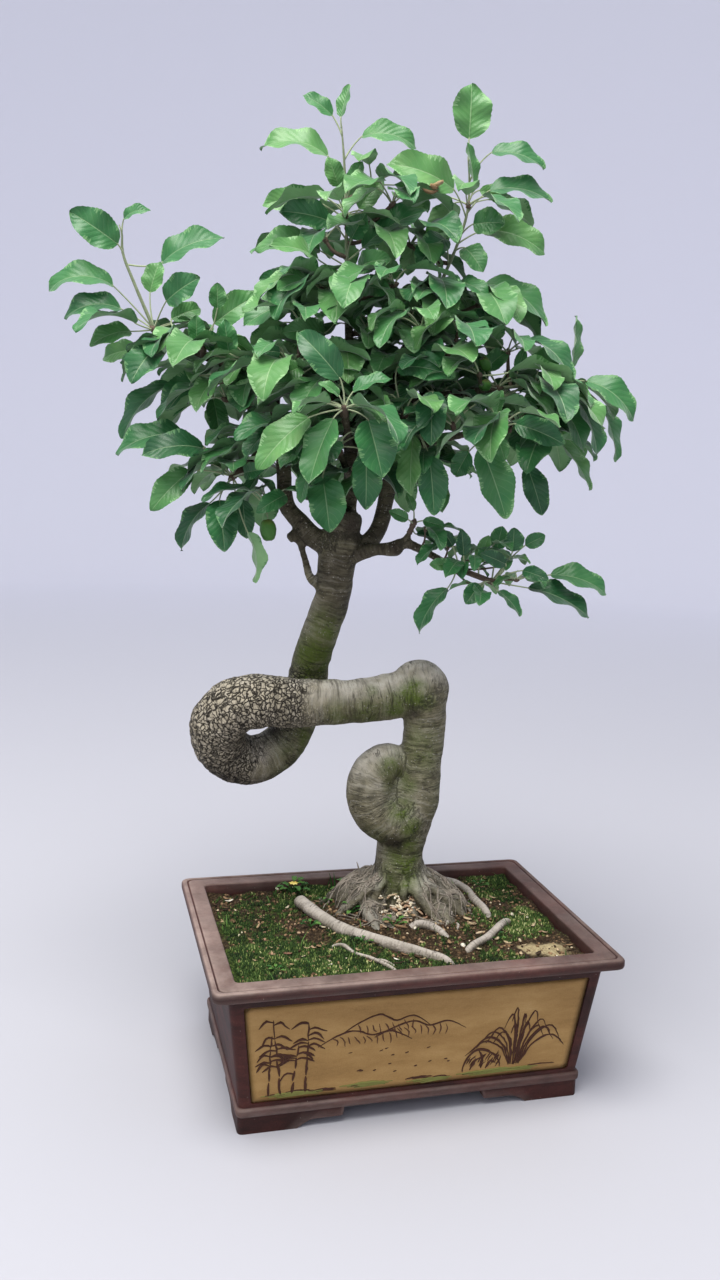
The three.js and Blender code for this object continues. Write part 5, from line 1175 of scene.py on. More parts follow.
DARK_BARK_AND_SHADE = [
    (-80, -8, 456, 34, 0.85), (-62, -12, 430, 20, 0.5), (-88, 0, 404, 44, 0.55), (-80, -4, 360, 34, 0.5),
    (-26, -24, 430, 16, 0.8), (-112, 4, 440, 24, 0.4), (-216, -10, 152, 44, 0.6), (-180, 10, 142, 34, 0.5),
    (-12, -30, 84, 18, 0.7), (-160, 10, 214, 26, 0.7), (-8, -36, 148, 9, 0.6), (2, -32, 236, 14, 0.6),
    (-88, -2, 384, 34, 0.35), (-62, 0, 22, 60, 0.5), (62, -6, 12, 54, 0.4), (-8, -62, 6, 46, 0.5),
]


def fading(points, spots):
    """How strongly a list of soft round spots, given on the tree's axes, lies on each point."""
    total = np.zeros(len(points))
    for u, v, w, reach, strength in spots:
        distance = norm(points - place(u, v, w), axis=1)
        total = np.maximum(total, strength * np.clip(1.5 - 1.5 * distance / reach, 0, 1))
    return total


def noise_of(points, size, seed=0.0, octaves=3):
    """Smooth noise in -1..1 at points in millimetres, its features this many millimetres wide."""
    scaled = points / size + seed
    return np.array([noise.fractal(Vector(point), 0.9, 2.0, octaves) for point in scaled])


def skin_of(heap, voxel, smoothing):
    """Melts a heap's overlapping forms into one closed skin."""
    rough = linked("rough", heap.mesh("rough"))
    melt = rough.modifiers.new("melt", "REMESH")
    melt.mode = "VOXEL"
    melt.voxel_size = voxel
    evaluated = rough.evaluated_get(bpy.context.evaluated_depsgraph_get())
    skin = bmesh.new()
    skin.from_mesh(bpy.data.meshes.new_from_object(evaluated))
    bpy.data.objects.remove(rough)
    for _ in range(smoothing):
        bmesh.ops.smooth_vert(skin, verts=skin.verts, factor=0.5, use_axis_x=True, use_axis_y=True,
                              use_axis_z=True)
    return skin


def make_trunk():
    heap = Heap()
    tubes = []
    for rows, amount, seed in LIMBS:
        course = course_of(rows)
        points, radii = even_samples(course, rows, max(4, math.ceil(course.length / 4)))
        rings, pattern = tube_form(points, radii, 24 if max(radii) > 15 else 12, lumps(amount, seed))
        heap.lay(rings, pattern, 0.5)
        tubes.append((points, rings[1:-1]))
    for row in [*KNOBS, *FOOT_SHOULDERS, TWIG_KNOB]:
        heap.lay(*ball_form(*row), 0.5)
    mesh = mesh_of(skin_of(heap, SKIN_VOXEL, 3), "bent_apple_trunk")
    here = np.array([vert.co for vert in mesh.vertices]) / MM - POT_MIDDLE
    normals = np.array([vert.normal for vert in mesh.vertices])

    # The limb nearest to each point gives the bark its grain
    spots = [(point, number, step) for number, (_, rings) in enumerate(tubes)
             for step, ring in enumerate(rings) for point in ring]
    tree = KDTree(len(spots))
    for index, (point, _, _) in enumerate(spots):
        tree.insert(point, index)
    tree.balance()
    found = np.array([spots[tree.find(point)[1]][1:] for point in here])
    pattern = np.zeros_like(here)
    for number, (points, _) in enumerate(tubes):
        mine = found[:, 0] == number
        steps = found[mine, 1]
        ways, first, second = frames_along(points)
        along = steps_along(points)
        off = here[mine] - points[steps]
        # Over the foot the grain runs out along the strands, higher up it rings the limb
        fibrous = np.clip((here[mine, 2] - TREE_FOOT[2]) / -20 + 2.3, 0, 1)[:, None]
        own = np.stack([(off * axis[steps]).sum(axis=1) for axis in (first, second, ways)], axis=1)
        own[:, 2] += along[steps]
        pattern[mine] = own * (1 + fibrous * [1.6, 1.6, -0.85]) + [0, 0, 211 * number]

    # Cracked old bark on the far bend, a gnarled foot, ripples elsewhere
    seen = here - TREE_FOOT
    u = seen[:, 0] * TREE_COS + seen[:, 1] * TREE_SIN
    ragged = 16 * noise_of(here, 16, 4.1)
    old = np.clip((-84 - u + ragged) / 78, 0, 1) * (found[:, 0] == 1) * np.clip((300 - seen[:, 2]) / 30, 0, 1)
    old *= 1 - 0.8 * np.clip((220 - seen[:, 2]) / 14, 0, 1) * np.clip((u + 200 + ragged) / 34, 0, 1)
    broad = noise_of(here, 26, 7.7)
    ripples = noise_of(pattern * [1 / 20, 1 / 20, 1 / 9], 1, 3.1, 2)
    low = np.clip((46 - seen[:, 2]) / 26, 0, 1)
    size = np.clip(norm(pattern[:, :2], axis=1) / 25, 0.1, 1)
    push = size * (0.4 * ripples + 0.9 * broad)
    push = push + 1.1 * old * noise_of(here, 6, 9.2) + 1.7 * low * noise_of(here, 8, 6.1)
    moved = here + normals * push[:, None]
    mesh.vertices.foreach_set("co", in_row(moved).ravel())
    mark(mesh, "pattern", pattern)
    mark(mesh, "tint", old)
    patch = 0.95 + 0.6 * noise_of(here, 16, 1.9)
    rise = seen[:, 2]
    # Paler where the bark faces the sky: sun bleaching and a painted highlight of the overhead light
    sky_bleach_and_highlight = np.clip(normals[:, 2] + 0.15, 0, 1) ** 1.3 * (rise < 400) * np.clip(rise / 50, 0.3, 1)
    sky_bleach_and_highlight += 0.45 * (found[:, 0] == len(LIMBS) - 1)
    crown = [*range(3, 10), *range(16, 16 + len(SIDE_BRANCHES))]
    browned = 0.5 * np.isin(found[:, 0], crown) * (rise > 400)
    # Dark bark, with painted shade in creases and under overhangs, and the crown's browner limbs
    dark = np.maximum(fading(here, DARK_BARK_AND_SHADE), browned) * (0.7 + 0.5 * patch)
    mark(mesh, "weather", np.stack([sky_bleach_and_highlight * patch, fading(here, ALGAE) * patch, dark], axis=1).clip(0, 1))
    mesh.polygons.foreach_set("use_smooth", [True] * len(mesh.polygons))
    finish_piece("bent_apple_trunk", mesh, [trunk_bark], "trunk")
    make_hair_roots(BVHTree.FromPolygons(moved.tolist(), [list(face.vertices) for face in mesh.polygons]))


# Finer roots between the large ones, on the same axes as theirs
FINE_ROOTS = [
    [(-84, -124, -5, 1.6), (-76, -114, 2, 2.2), (-66, -118, 4, 2.4), (-54, -132, 2, 2.4), (-34, -143, 2, 2.3),
     (-12, -162, 1, 2.1), (4, -180, -5, 1.7)],
    [(-36, -136, -3, 1.5), (-20, -143, 2, 1.9), (-3, -156, -4, 1.5)],
    [(8, -70, -5, 4.5), (18, -67, 2, 5.2), (29, -67, 3, 5), (44, -76, 1, 4.2), (58, -92, -6, 3.4)],
    [(44, 62, 10, 2.6), (60, 36, 12, 3), (64, 6, 8, 3), (60, -28, 4, 2.6), (50, -62, -4, 2.2)],
    [(60, -40, -4, 1.6), (66, -58, 2, 1.8), (58, -76, -4, 1.5)],
]


def soil_height(x, y):
    dx, dy = x - TREE_FOOT[0], y - TREE_FOOT[1] + 10
    mound = MOUND_HEIGHT * np.exp(-(dx * dx + dy * dy) / (2 * MOUND_SPREAD ** 2))
    rough = np.sin(x * 0.11 + 1.3) * np.sin(y * 0.13 + 0.4) + 0.7 * np.sin(x * 0.047 - y * 0.06)
    return SOIL_LEVEL + mound + SOIL_ROUGHNESS * rough


def on_ground(u, v, lift):
    x, y, _ = place(u, v, 0)
    return np.array([x, y, soil_height(x, y) + lift])


def make_root(name, courses, replaced=None):
    heap = Heap()
    for rows in courses:
        course = Course([on_ground(u, v, lift) for u, v, lift, _ in rows])
        count = math.ceil(course.length / 3)
        points, radii = even_samples(course, rows, count)
        sides = 16 if max(radii) > 4 else 8
        # A root is knotted every few centimetres and cut off square with a rounded rim
        ends = np.minimum(1, 0.8 + 0.5 * np.minimum(np.arange(count + 1), np.arange(count + 1)[::-1]))
        seed = round(abs(course.points[0][0])) + 3
        rings, pattern = tube_form(points, radii * ends, sides, lumps(0.06, seed))
        heap.lay(rings, pattern, 0.0)
    mesh = heap.mesh(name)
    places = np.array([vert.co for vert in mesh.vertices]) / MM - POT_MIDDLE
    shade = 0.25 + 0.5 * noise_of(places, 15, 4.4)
    # Paler on top as sun bleaching and a painted highlight, darker underneath as painted shade
    sky = np.clip([vert.normal.z for vert in mesh.vertices], 0, 1)
    weather = np.stack([0.8 * sky, 0.6 * shade * (1 - sky), 0.7 * shade * (1 - 0.6 * sky)], axis=1)
    mark(mesh, "weather", weather.clip(0, 1))
    finish_piece(name, mesh, [root_bark], replaced)


def make_hair_roots(wood):
    """Matted hair roots: thin strands that meander out over the foot, on the wood and down to the soil."""
    heap = Heap()
    draw = np.random.default_rng(41)
    for number in range(150):
        left = number % 5 < 3
        turn = draw.uniform(150, 262) if left else draw.uniform(-75, 60)
        start, reach, radius = draw.uniform(33, 62), draw.uniform(18, 46), draw.uniform(0.6, 1.7)
        veer, phase = draw.uniform(-26, 26), draw.uniform(0, FULL_TURN)
        points = []
        for step in np.linspace(0, 1, 12):
            angle = radians(turn + veer * step + 5 * sin(7 * step + phase))
            out = start + reach * step
            over = place(out * cos(angle) - 2, 0.86 * out * sin(angle), 70)
            ground = soil_height(over[0], over[1])
            hit = wood.ray_cast(Vector(over), -UP_VECTOR)[0]
            z = max(ground, hit.z if hit else 0) + 0.5 * radius + 0.8 * sin(9 * step + 2 * phase)
            points.append([over[0], over[1], z if step < 0.95 else ground - 1])
        rise = np.abs(np.diff([point[2] for point in points]))
        if rise[:-1].max() < 13:
            lay_tube(heap, points, np.linspace(radius, 0.45 * radius, 12), 5, 0.0)
    for u, v, w, lean, tall in [(-46, -6, 26, -8, 26), (-38, -10, 30, 5, 20), (-52, 4, 20, -3, 16)]:
        course = [place(u + lean * t, v, w + tall * t) for t in (0, 0.3, 0.7, 1)]
        lay_tube(heap, course, [1.6, 1.3, 1, 0.5], 6, 0.0)
    mesh = heap.mesh("matted_hair_roots")
    shade = 0.35 + 0.6 * noise_of(np.array([vert.co for vert in mesh.vertices]) / MM, 9, 3.3)
    mark(mesh, "weather", np.stack([0.5 * shade, 0.3 * shade, 0.5 * shade], axis=1).clip(0, 1))
    finish_piece("matted_hair_roots", mesh, [root_bark])


# Soil, moss, litter and weeds

SOIL_GRID, MOSS_COUNT = 2.4, 15500
# Soft patches on the soil: x, y, reach in millimetres, and how green (above 0) or sandy (below 0)
SOIL_PATCHES = [
    (-170, -95, 62, 0.5), (-150, -40, 60, 0.4), (-92, -84, 50, 0.45), (-116, 78, 50, 0.35),
    (-170, 30, 44, 0.25), (-60, -50, 34, 0.35), (-40, -110, 42, 0.35), (20, -118, 30, 0.3),
    (176, -8, 26, 0.7), (156, -44, 24, 0.55), (120, -6, 30, 0.45), (182, 100, 34, 0.5), (172, 130, 26, 0.5),
    (112, -112, 34, 0.5), (150, 60, 26, 0.2), (60, 118, 46, 0.3), (-60, 118, 46, 0.35), (158, -97, 30, -0.9),
    (136, -84, 16, -0.7), (196, -122, 26, -0.25), (26, -10, 52, -0.2), (-40, 0, 40, -0.15),
    (80, 40, 32, -0.2),
]


def flat_noise(x, y, size, seed, octaves=3):
    return noise_of(np.stack([x, y, np.zeros_like(x)], axis=1), size, seed, octaves)


def soil_mask(x, y):
    """How mossed the soil is at each place, from below 0 for bare sand to 1 for moss."""
    total = np.full(len(x), 0.1)
    for px, py, reach, weight in SOIL_PATCHES:
        total = total + weight * np.exp(-((x - px) ** 2 + (y - py) ** 2) / (2 * (0.6 * reach) ** 2))
    return total + 0.32 * flat_noise(x, y, 24, 5.5)


def soil_top(x, y):
    crumbled = 2.0 * flat_noise(x, y, 12, 2.2)
    return soil_height(x, y) + crumbled + 1.1 * flat_noise(x, y, 4.5, 8.1, 2) + np.clip(soil_mask(x, y), 0, 1)


def spot_on_soil(x, y):
    return np.array([x, y, soil_top(np.array([x]), np.array([y]))[0]])


def well_half(z, whole):
    return whole / 2 - GAP - BODY_TAPER * (1 - (z - FLOOR_TOP - GAP) / (POT_HEIGHT + 1 - FLOOR_TOP - GAP))


def make_soil():
    half_x, half_y = well_half(SOIL_LEVEL, WELL_LENGTH), well_half(SOIL_LEVEL, WELL_WIDTH)
    columns, rows = round(2 * half_x / SOIL_GRID), round(2 * half_y / SOIL_GRID)
    x, y = np.meshgrid(np.linspace(-half_x, half_x, columns + 1), np.linspace(-half_y, half_y, rows + 1))
    z, mask = (form(x.ravel(), y.ravel()).reshape(x.shape) for form in (soil_top, soil_mask))
    heap = Heap()
    points = np.stack([x, y, z], axis=2)
    heap.lay(points, points, mask)
    bed = bmesh.new()
    bed.from_mesh(heap.mesh("bed"))
    rim = [edge for edge in bed.edges if edge.is_boundary]
    made = bmesh.ops.extrude_edge_only(bed, edges=rim)["geom"]
    low = FLOOR_TOP + GAP
    shrink = well_half(low, WELL_LENGTH) / half_x, well_half(low, WELL_WIDTH) / half_y
    for vert in (item for item in made if isinstance(item, bmesh.types.BMVert)):
        at = np.array(vert.co) / MM - POT_MIDDLE
        vert.co = in_row([at[0] * shrink[0], at[1] * shrink[1], low])
    finish_piece("potting_soil", closed(bed, "potting_soil"), [damp_soil], "soil")


def scatter(count, seed):
    """Places on the soil, drawn from a fixed seed, with six more draws for each."""
    draw = np.random.default_rng(seed)
    halves = [well_half(SOIL_LEVEL, whole) - 6 for whole in (WELL_LENGTH, WELL_WIDTH)]
    x, y = (draw.uniform(-1, 1, count) * half for half in halves)
    return x, y, draw.uniform(0, 1, (count, 6))


def strewn(count, seed, lift):
    x, y, draws = scatter(count, seed)
    return zip(np.stack([x, y, soil_top(x, y) + lift], axis=1), draws)


def lay_tuft(heap, at, lean, radius, height, tint):
    """One shoot of moss: a three-sided spike closed at its foot."""
    turn = np.array([0, 2 * pi / 3, 4 * pi / 3, 0]) + lean[0]
    ring = at + np.stack([radius * np.cos(turn), radius * np.sin(turn), np.zeros(4)], axis=1)
    tip = at + np.array([lean[1], lean[2], height])
    points = np.stack([np.tile(at - [0, 0, 1.0], (4, 1)), ring, np.tile(tip, (4, 1))])
    heap.lay(points, points * 0.1, tint)


def make_moss():
    x, y, draws = scatter(90000, 5)
    clumps = flat_noise(x, y, 7, 6.6, 2)
    mask = soil_mask(x, y) + 0.3 * (draws[:, 5] - 0.5) + 0.45 * clumps
    keep = mask > 0.36
    x, y, draws, mask, clumps = (values[keep][:MOSS_COUNT] for values in (x, y, draws, mask, clumps))
    spots = np.stack([x, y, soil_top(x, y) - 0.4], axis=1)
    heap = Heap()
    shade = flat_noise(x, y, 26, 2.7)
    cushions = [(176, -8), (150, -47), (118, -6)]
    yellow = sum(np.exp(-((x - px) ** 2 + (y - py) ** 2) / (2 * 20 ** 2)) for px, py in cushions)
    for i, spot in enumerate(spots):
        height = 1.2 + 2.4 * draws[i, 0] + 1.6 * min(1, mask[i])
        lean = (FULL_TURN * draws[i, 1], 2.2 * (draws[i, 2] - 0.5), 2.2 * (draws[i, 3] - 0.5))
        tint = 0.14 + 0.66 * draws[i, 4] ** 4 + 0.25 * min(1, yellow[i]) + 0.3 * shade[i] + 0.2 * clumps[i]
        lay_tuft(heap, spot, lean, 0.8 + 0.6 * draws[i, 5], height, max(0.02, tint))
    finish_piece("cushion_moss", heap, [moss_green])


def lay_turned(heap, at, x, y, z, turn, tint, slot):
    """Lays a small form at its place, turned about its upright."""
    ahead, aside = cos(turn), sin(turn)
    points = at + np.stack([x * ahead - y * aside, x * aside + y * ahead, z], axis=2)
    heap.lay(points, points * 0.1, tint, (slot,))


def lay_crumb(heap, at, halves, turn, tint, slot):
    """A crumb or stone: a rounded lump of few faces."""
    angle = np.linspace(0, 2 * pi, 7)
    angle[-1] = 0
    fall = np.linspace(0, pi, 5)
    out = np.sin(fall)[:, None] * (1 + 0.16 * np.sin(2 * angle + turn * 3))
    x, y = halves[0] * out * np.cos(angle), halves[1] * out * np.sin(angle)
    x[0] = x[-1] = y[0] = y[-1] = 0
    z = halves[2] * np.cos(fall)[:, None] * np.ones_like(x)
    lay_turned(heap, at, x, y, z, turn, tint, slot)


def lay_flake(heap, at, length, width, turn, curl, tint, slot):
    """A dry leaf scrap or husk, thin and curled."""
    side = np.array([-1, 0, 1, 0, -1.0])
    face = np.array([0, 1, 0, -1, 0.0])
    t = np.linspace(-1, 1, 6)[:, None]
    half = width / 2 * np.sqrt(np.maximum(0, 1 - t * t)) * side
    x = length / 2 * t * np.ones(5)
    z = curl * (t * t) * np.ones(5) + 0.25 * np.abs(half) * curl / 2 + 0.25 * face * (1 - t * t)
    lay_turned(heap, at, x, half, z, turn, tint, slot)


# Wood chips and straw at the trunk's foot, and small dead twigs: x, y, length, heading, and 1 for pale wood
CHIPS = [
    (35, 47, 12, 0.4, 1), (27, 28, 10, 1.2, 1), (44, 32, 9, 2.3, 1), (52, 8, 14, 2.8, 1), (60, 24, 9, 0.9, 1),
    (12, -22, 13, 0.2, 0), (-14, -26, 11, 2.0, 1), (4, -36, 15, 2.7, 0), (22, -34, 9, 1.0, 1),
    (70, -6, 12, 0.3, 0), (-118, 137, 9, 0.5, 1), (-108, 130, 6, 2.1, 1), (136, -70, 10, 1.4, 1),
    (92, -56, 9, 0.1, 1), (100, 20, 12, 1.9, 0), (-70, -40, 14, 0.7, 0), (-120, -70, 12, 2.4, 0),
    (-150, 20, 10, 1.1, 0), (60, 96, 14, 0.5, 0), (130, 90, 12, 2.6, 0),
]
CHIP_STEPS = np.array([-1, -0.3, 0.4, 1])[:, None]


def make_litter():
    heap = Heap()
    for at, draws in strewn(1500, 9, 0.2):
        size = 0.9 + 1.7 * draws[0] ** 2 + 0.6 * (np.hypot(at[0] - 30, at[1] - 30) < 95)
        halves = size * np.array([1, 0.7 + 0.3 * draws[1], 0.6 + 0.3 * draws[2]])
        lay_crumb(heap, at, halves, FULL_TURN * draws[3], draws[4] * 0.8, int(draws[5] > 0.93))
    for at, draws in strewn(260, 13, 1.2):
        length = 4 + 9 * draws[0]
        width, curl = length * (0.25 + 0.4 * draws[1]), 0.5 + 1.6 * draws[3]
        lay_flake(heap, at, length, width, FULL_TURN * draws[2], curl, draws[4], int(draws[5] > 0.85))
    for number, (x, y, length, turn, slot) in enumerate(CHIPS):
        way = np.array([cos(turn), sin(turn), 0.12 * sin(3.0 * number)]) * length / 2
        lay_tube(heap, spot_on_soil(x, y) + [0, 0, 1.8] + CHIP_STEPS * way, [0.9, 1.5, 1.4, 0.8], 6,
                 0.35 + 0.5 * sin(number) ** 2, slot)
    # Crumbled bark that has fallen at the front of the foot
    draw = np.random.default_rng(29)
    for _ in range(90):
        near, turn = draw.uniform(0, 1), draw.uniform(0, FULL_TURN)
        at = place(draw.normal(4, 13), -31 - 17 * near, 22 - 20 * near + draw.uniform(-2, 3))
        way = np.array([cos(turn), sin(turn), draw.uniform(-0.5, 0.5)]) * draw.uniform(1.5, 4.5)
        radii = np.array([0.7, 1, 1, 0.6]) * draw.uniform(0.8, 1.7)
        lay_tube(heap, at + CHIP_STEPS * way, radii, 5, draw.uniform(0.1, 1), 1)
    finish_piece("soil_litter", heap, [leaf_litter, pale_chips])


def lay_grass(heap, at, height, lean, width, tint):
    """A blade of grass: a narrow two-faced strip that bends over."""
    t = np.linspace(0, 1, 7)[:, None]
    side = np.array([-1, 0, 1, 0, -1.0])
    face = np.array([0, 0.3, 0, -0.3, 0])
    out = level_way(lean[0])
    across = np.array([-out[1], out[0], 0])
    spine = at + out * (lean[1] * height * t ** 1.8) + UP * (height * (t - 0.25 * lean[1] * t ** 3))
    half = width / 2 * (1 - t ** 2.2)
    points = spine[:, None] + across * (half * side)[..., None] + out * ((1 - t) * face)[..., None]
    heap.lay(points, points * 0.1, tint)


def lay_weed(heap, at, size, count, seed):
    draw = draw_from(seed)
    for number in range(count):
        heading = GOLDEN_ANGLE * number + next(draw)
        out = level_way(heading)
        rise = radians(25 + 45 * next(draw))
        base = at + (out * cos(rise) + UP * sin(rise)) * size * (0.6 + 0.5 * next(draw))
        tip = base + (out * 0.94 + UP * 0.34 * (next(draw) - 0.4)) * size * 0.8
        leaf = Leaf(at, base, tip, size * 0.5, 0.8, UP, pi / 2, next(draw))
        lay_blade(heap, leaf, 0.3 + 0.5 * next(draw), (0,) * 12, 0.0)
        lay_tube(heap, leaf.petiole(np.linspace(0, 1, 4)), 0.45, 5, 0.4)


def make_weeds():
    heap = Heap()
    for number, (x, y, size, count) in enumerate([
        (-28, 99, 13, 7), (-39, 20, 12, 6), (-45, -53, 9, 6), (-93, 1, 9, 6), (-3, -28, 11, 6),
        (60, 60, 9, 5), (-150, -88, 8, 5), (112, -60, 7, 5), (150, 96, 8, 6), (-60, 60, 8, 5),
    ]):
        lay_weed(heap, spot_on_soil(x, y), size, count, 31 + number)
    # A yellow flower over its own leaves at the back, and three tall blades by the foot
    flower = spot_on_soil(*place(-131, 36, 0)[:2])
    lay_weed(heap, flower, 15, 9, 77)
    for number in range(7):
        out = np.array([cos(0.9 * number), sin(0.9 * number), 0.25])
        lay_crumb(heap, flower + [0, 0, 12] + 3.2 * out, (3.2, 1.6, 0.7), 0.9 * number, 0.3 + 0.1 * number, 1)
    for u, v, tall in ((-84, 46, 30), (-80, 50, 24), (-89, 52, 20)):
        lay_grass(heap, on_ground(u, v, -1), tall, (u, 0.3), 2.4, 0.3)
    for at, draws in strewn(46, 21, -1):
        lean = (FULL_TURN * draws[1], 0.2 + 0.6 * draws[2])
        lay_grass(heap, at, 8 + 14 * draws[0], lean, 1.1 + 0.7 * draws[3], 0.3 + 0.6 * draws[4])
    finish_piece("pot_weeds", heap, [weed_green, yellow_petal])


# Pot: one lofted shell, its feet cut from a ring, the long sides sunk for their slip panels


def ring_points(half_x, half_y, corner, z):
    """A rectangle with rounded corners, its sides in even steps."""
    signs = [(1, -1), (1, 1), (-1, 1), (-1, -1), (1, -1)]
    middles = [np.array([sx * (half_x - corner), sy * (half_y - corner)]) for sx, sy in signs]
    points = []
    for number, (middle, next_middle) in enumerate(zip(middles, middles[1:])):
        start = radians(-90 + 90 * number)
        points += [middle + corner * level_way(start + pi / 2 * step / 5)[:2] for step in range(6)]
        last, goal = points[-1], next_middle + corner * level_way(start + pi / 2)[:2]
        steps = (12, 18)[number % 2]
        points += [last * (1 - step / steps) + goal * step / steps for step in range(1, steps)]
    return np.array([[x, y, z] for x, y in [*points, points[0]]])


def prism(outline, way, depth):
    """A closed block from a flat outline, pushed along way, to add to the clay or to cut from it."""
    block = bmesh.new()
    face = block.faces.new([block.verts.new(in_row(point)) for point in outline])
    pushed = bmesh.ops.extrude_face_region(block, geom=[face])["geom"]
    ends = [item for item in pushed if isinstance(item, bmesh.types.BMVert)]
    bmesh.ops.translate(block, verts=ends, vec=Vector(np.array(way) * depth * MM))
    bmesh.ops.recalc_face_normals(block, faces=block.faces)
    return linked("block", mesh_of(block, "block"))


def joined_solid(name, base, added, cut):
    """The base with blocks added and others cut away, as one closed mesh."""
    for block in [*added, *cut]:
        step = base.modifiers.new("step", "BOOLEAN")
        step.operation, step.solver, step.object = "UNION" if block in added else "DIFFERENCE", "EXACT", block
    mesh = bpy.data.meshes.new_from_object(base.evaluated_get(bpy.context.evaluated_depsgraph_get()))
    for item in [base, *added, *cut]:
        bpy.data.objects.remove(item)
    mesh.name = name
    return mesh


def foot_opening(span, along_x):
    """The gap between two feet, its ends rising in a scroll from the ground to the bracket's lip."""
    lip = span / 2 - FOOT_LENGTH
    ground = lip + FOOT_SCROLL
    curl = [(s, -1 + (FOOT_LIP + 1) * (1 - (1 - s / 22) ** 2)) for s in (0, 3, 7, 12, 17, 22)]
    right = [(ground - s, z) for s, z in curl]
    right += [(lip + 4, FOOT_LIP), (lip + 1.4, FOOT_LIP + 1), (lip, FOOT_HEIGHT)]
    outline = right + [(-x, z) for x, z in reversed(right)]
    reach = 300
    if along_x:
        return prism([(x, -reach, z) for x, z in outline], (0, 1, 0), 2 * reach)
    return prism([(-reach, x, z) for x, z in outline], (1, 0, 0), 2 * reach)


def wall_lean(z):
    return BODY_TOP_WIDTH / 2 - BODY_TAPER * (BODY_HIGH - z) / (BODY_HIGH - BODY_LOW)


PANEL_LOW, PANEL_HIGH = BODY_LOW + PANEL_LOW_MARGIN, BODY_HIGH - PANEL_MARGIN
PANEL_LENGTH = BODY_TOP_LENGTH - 2 * PANEL_MARGIN - 1.2 * BODY_TAPER - 10


def panel_point(x, z, side, depth):
    """A place on a long side's panel, x along it and depth behind the wall's face."""
    widen = 1 + BODY_TAPER * (z - PANEL_LOW) / (PANEL_HIGH - PANEL_LOW) / (BODY_TOP_LENGTH / 2) * 0.9
    return np.array([side * -x * widen, side * (wall_lean(z) - depth), z])


def panel_recess(side):
    half, middle, tall = PANEL_LENGTH / 2, (PANEL_LOW + PANEL_HIGH) / 2, (PANEL_HIGH - PANEL_LOW) / 2
    outline = []
    for number, (sx, sz) in enumerate([(1, -1), (1, 1), (-1, 1), (-1, -1)]):
        for step in range(5):
            angle = radians(-90 + 90 * number + 22.5 * step)
            x = sx * (half - PANEL_CORNER) + PANEL_CORNER * cos(angle)
            z = middle + sz * (tall - PANEL_CORNER) + PANEL_CORNER * sin(angle)
            outline.append(panel_point(x, z, side, PANEL_DEPTH))
    return prism(outline, (0, side, 0), 20)


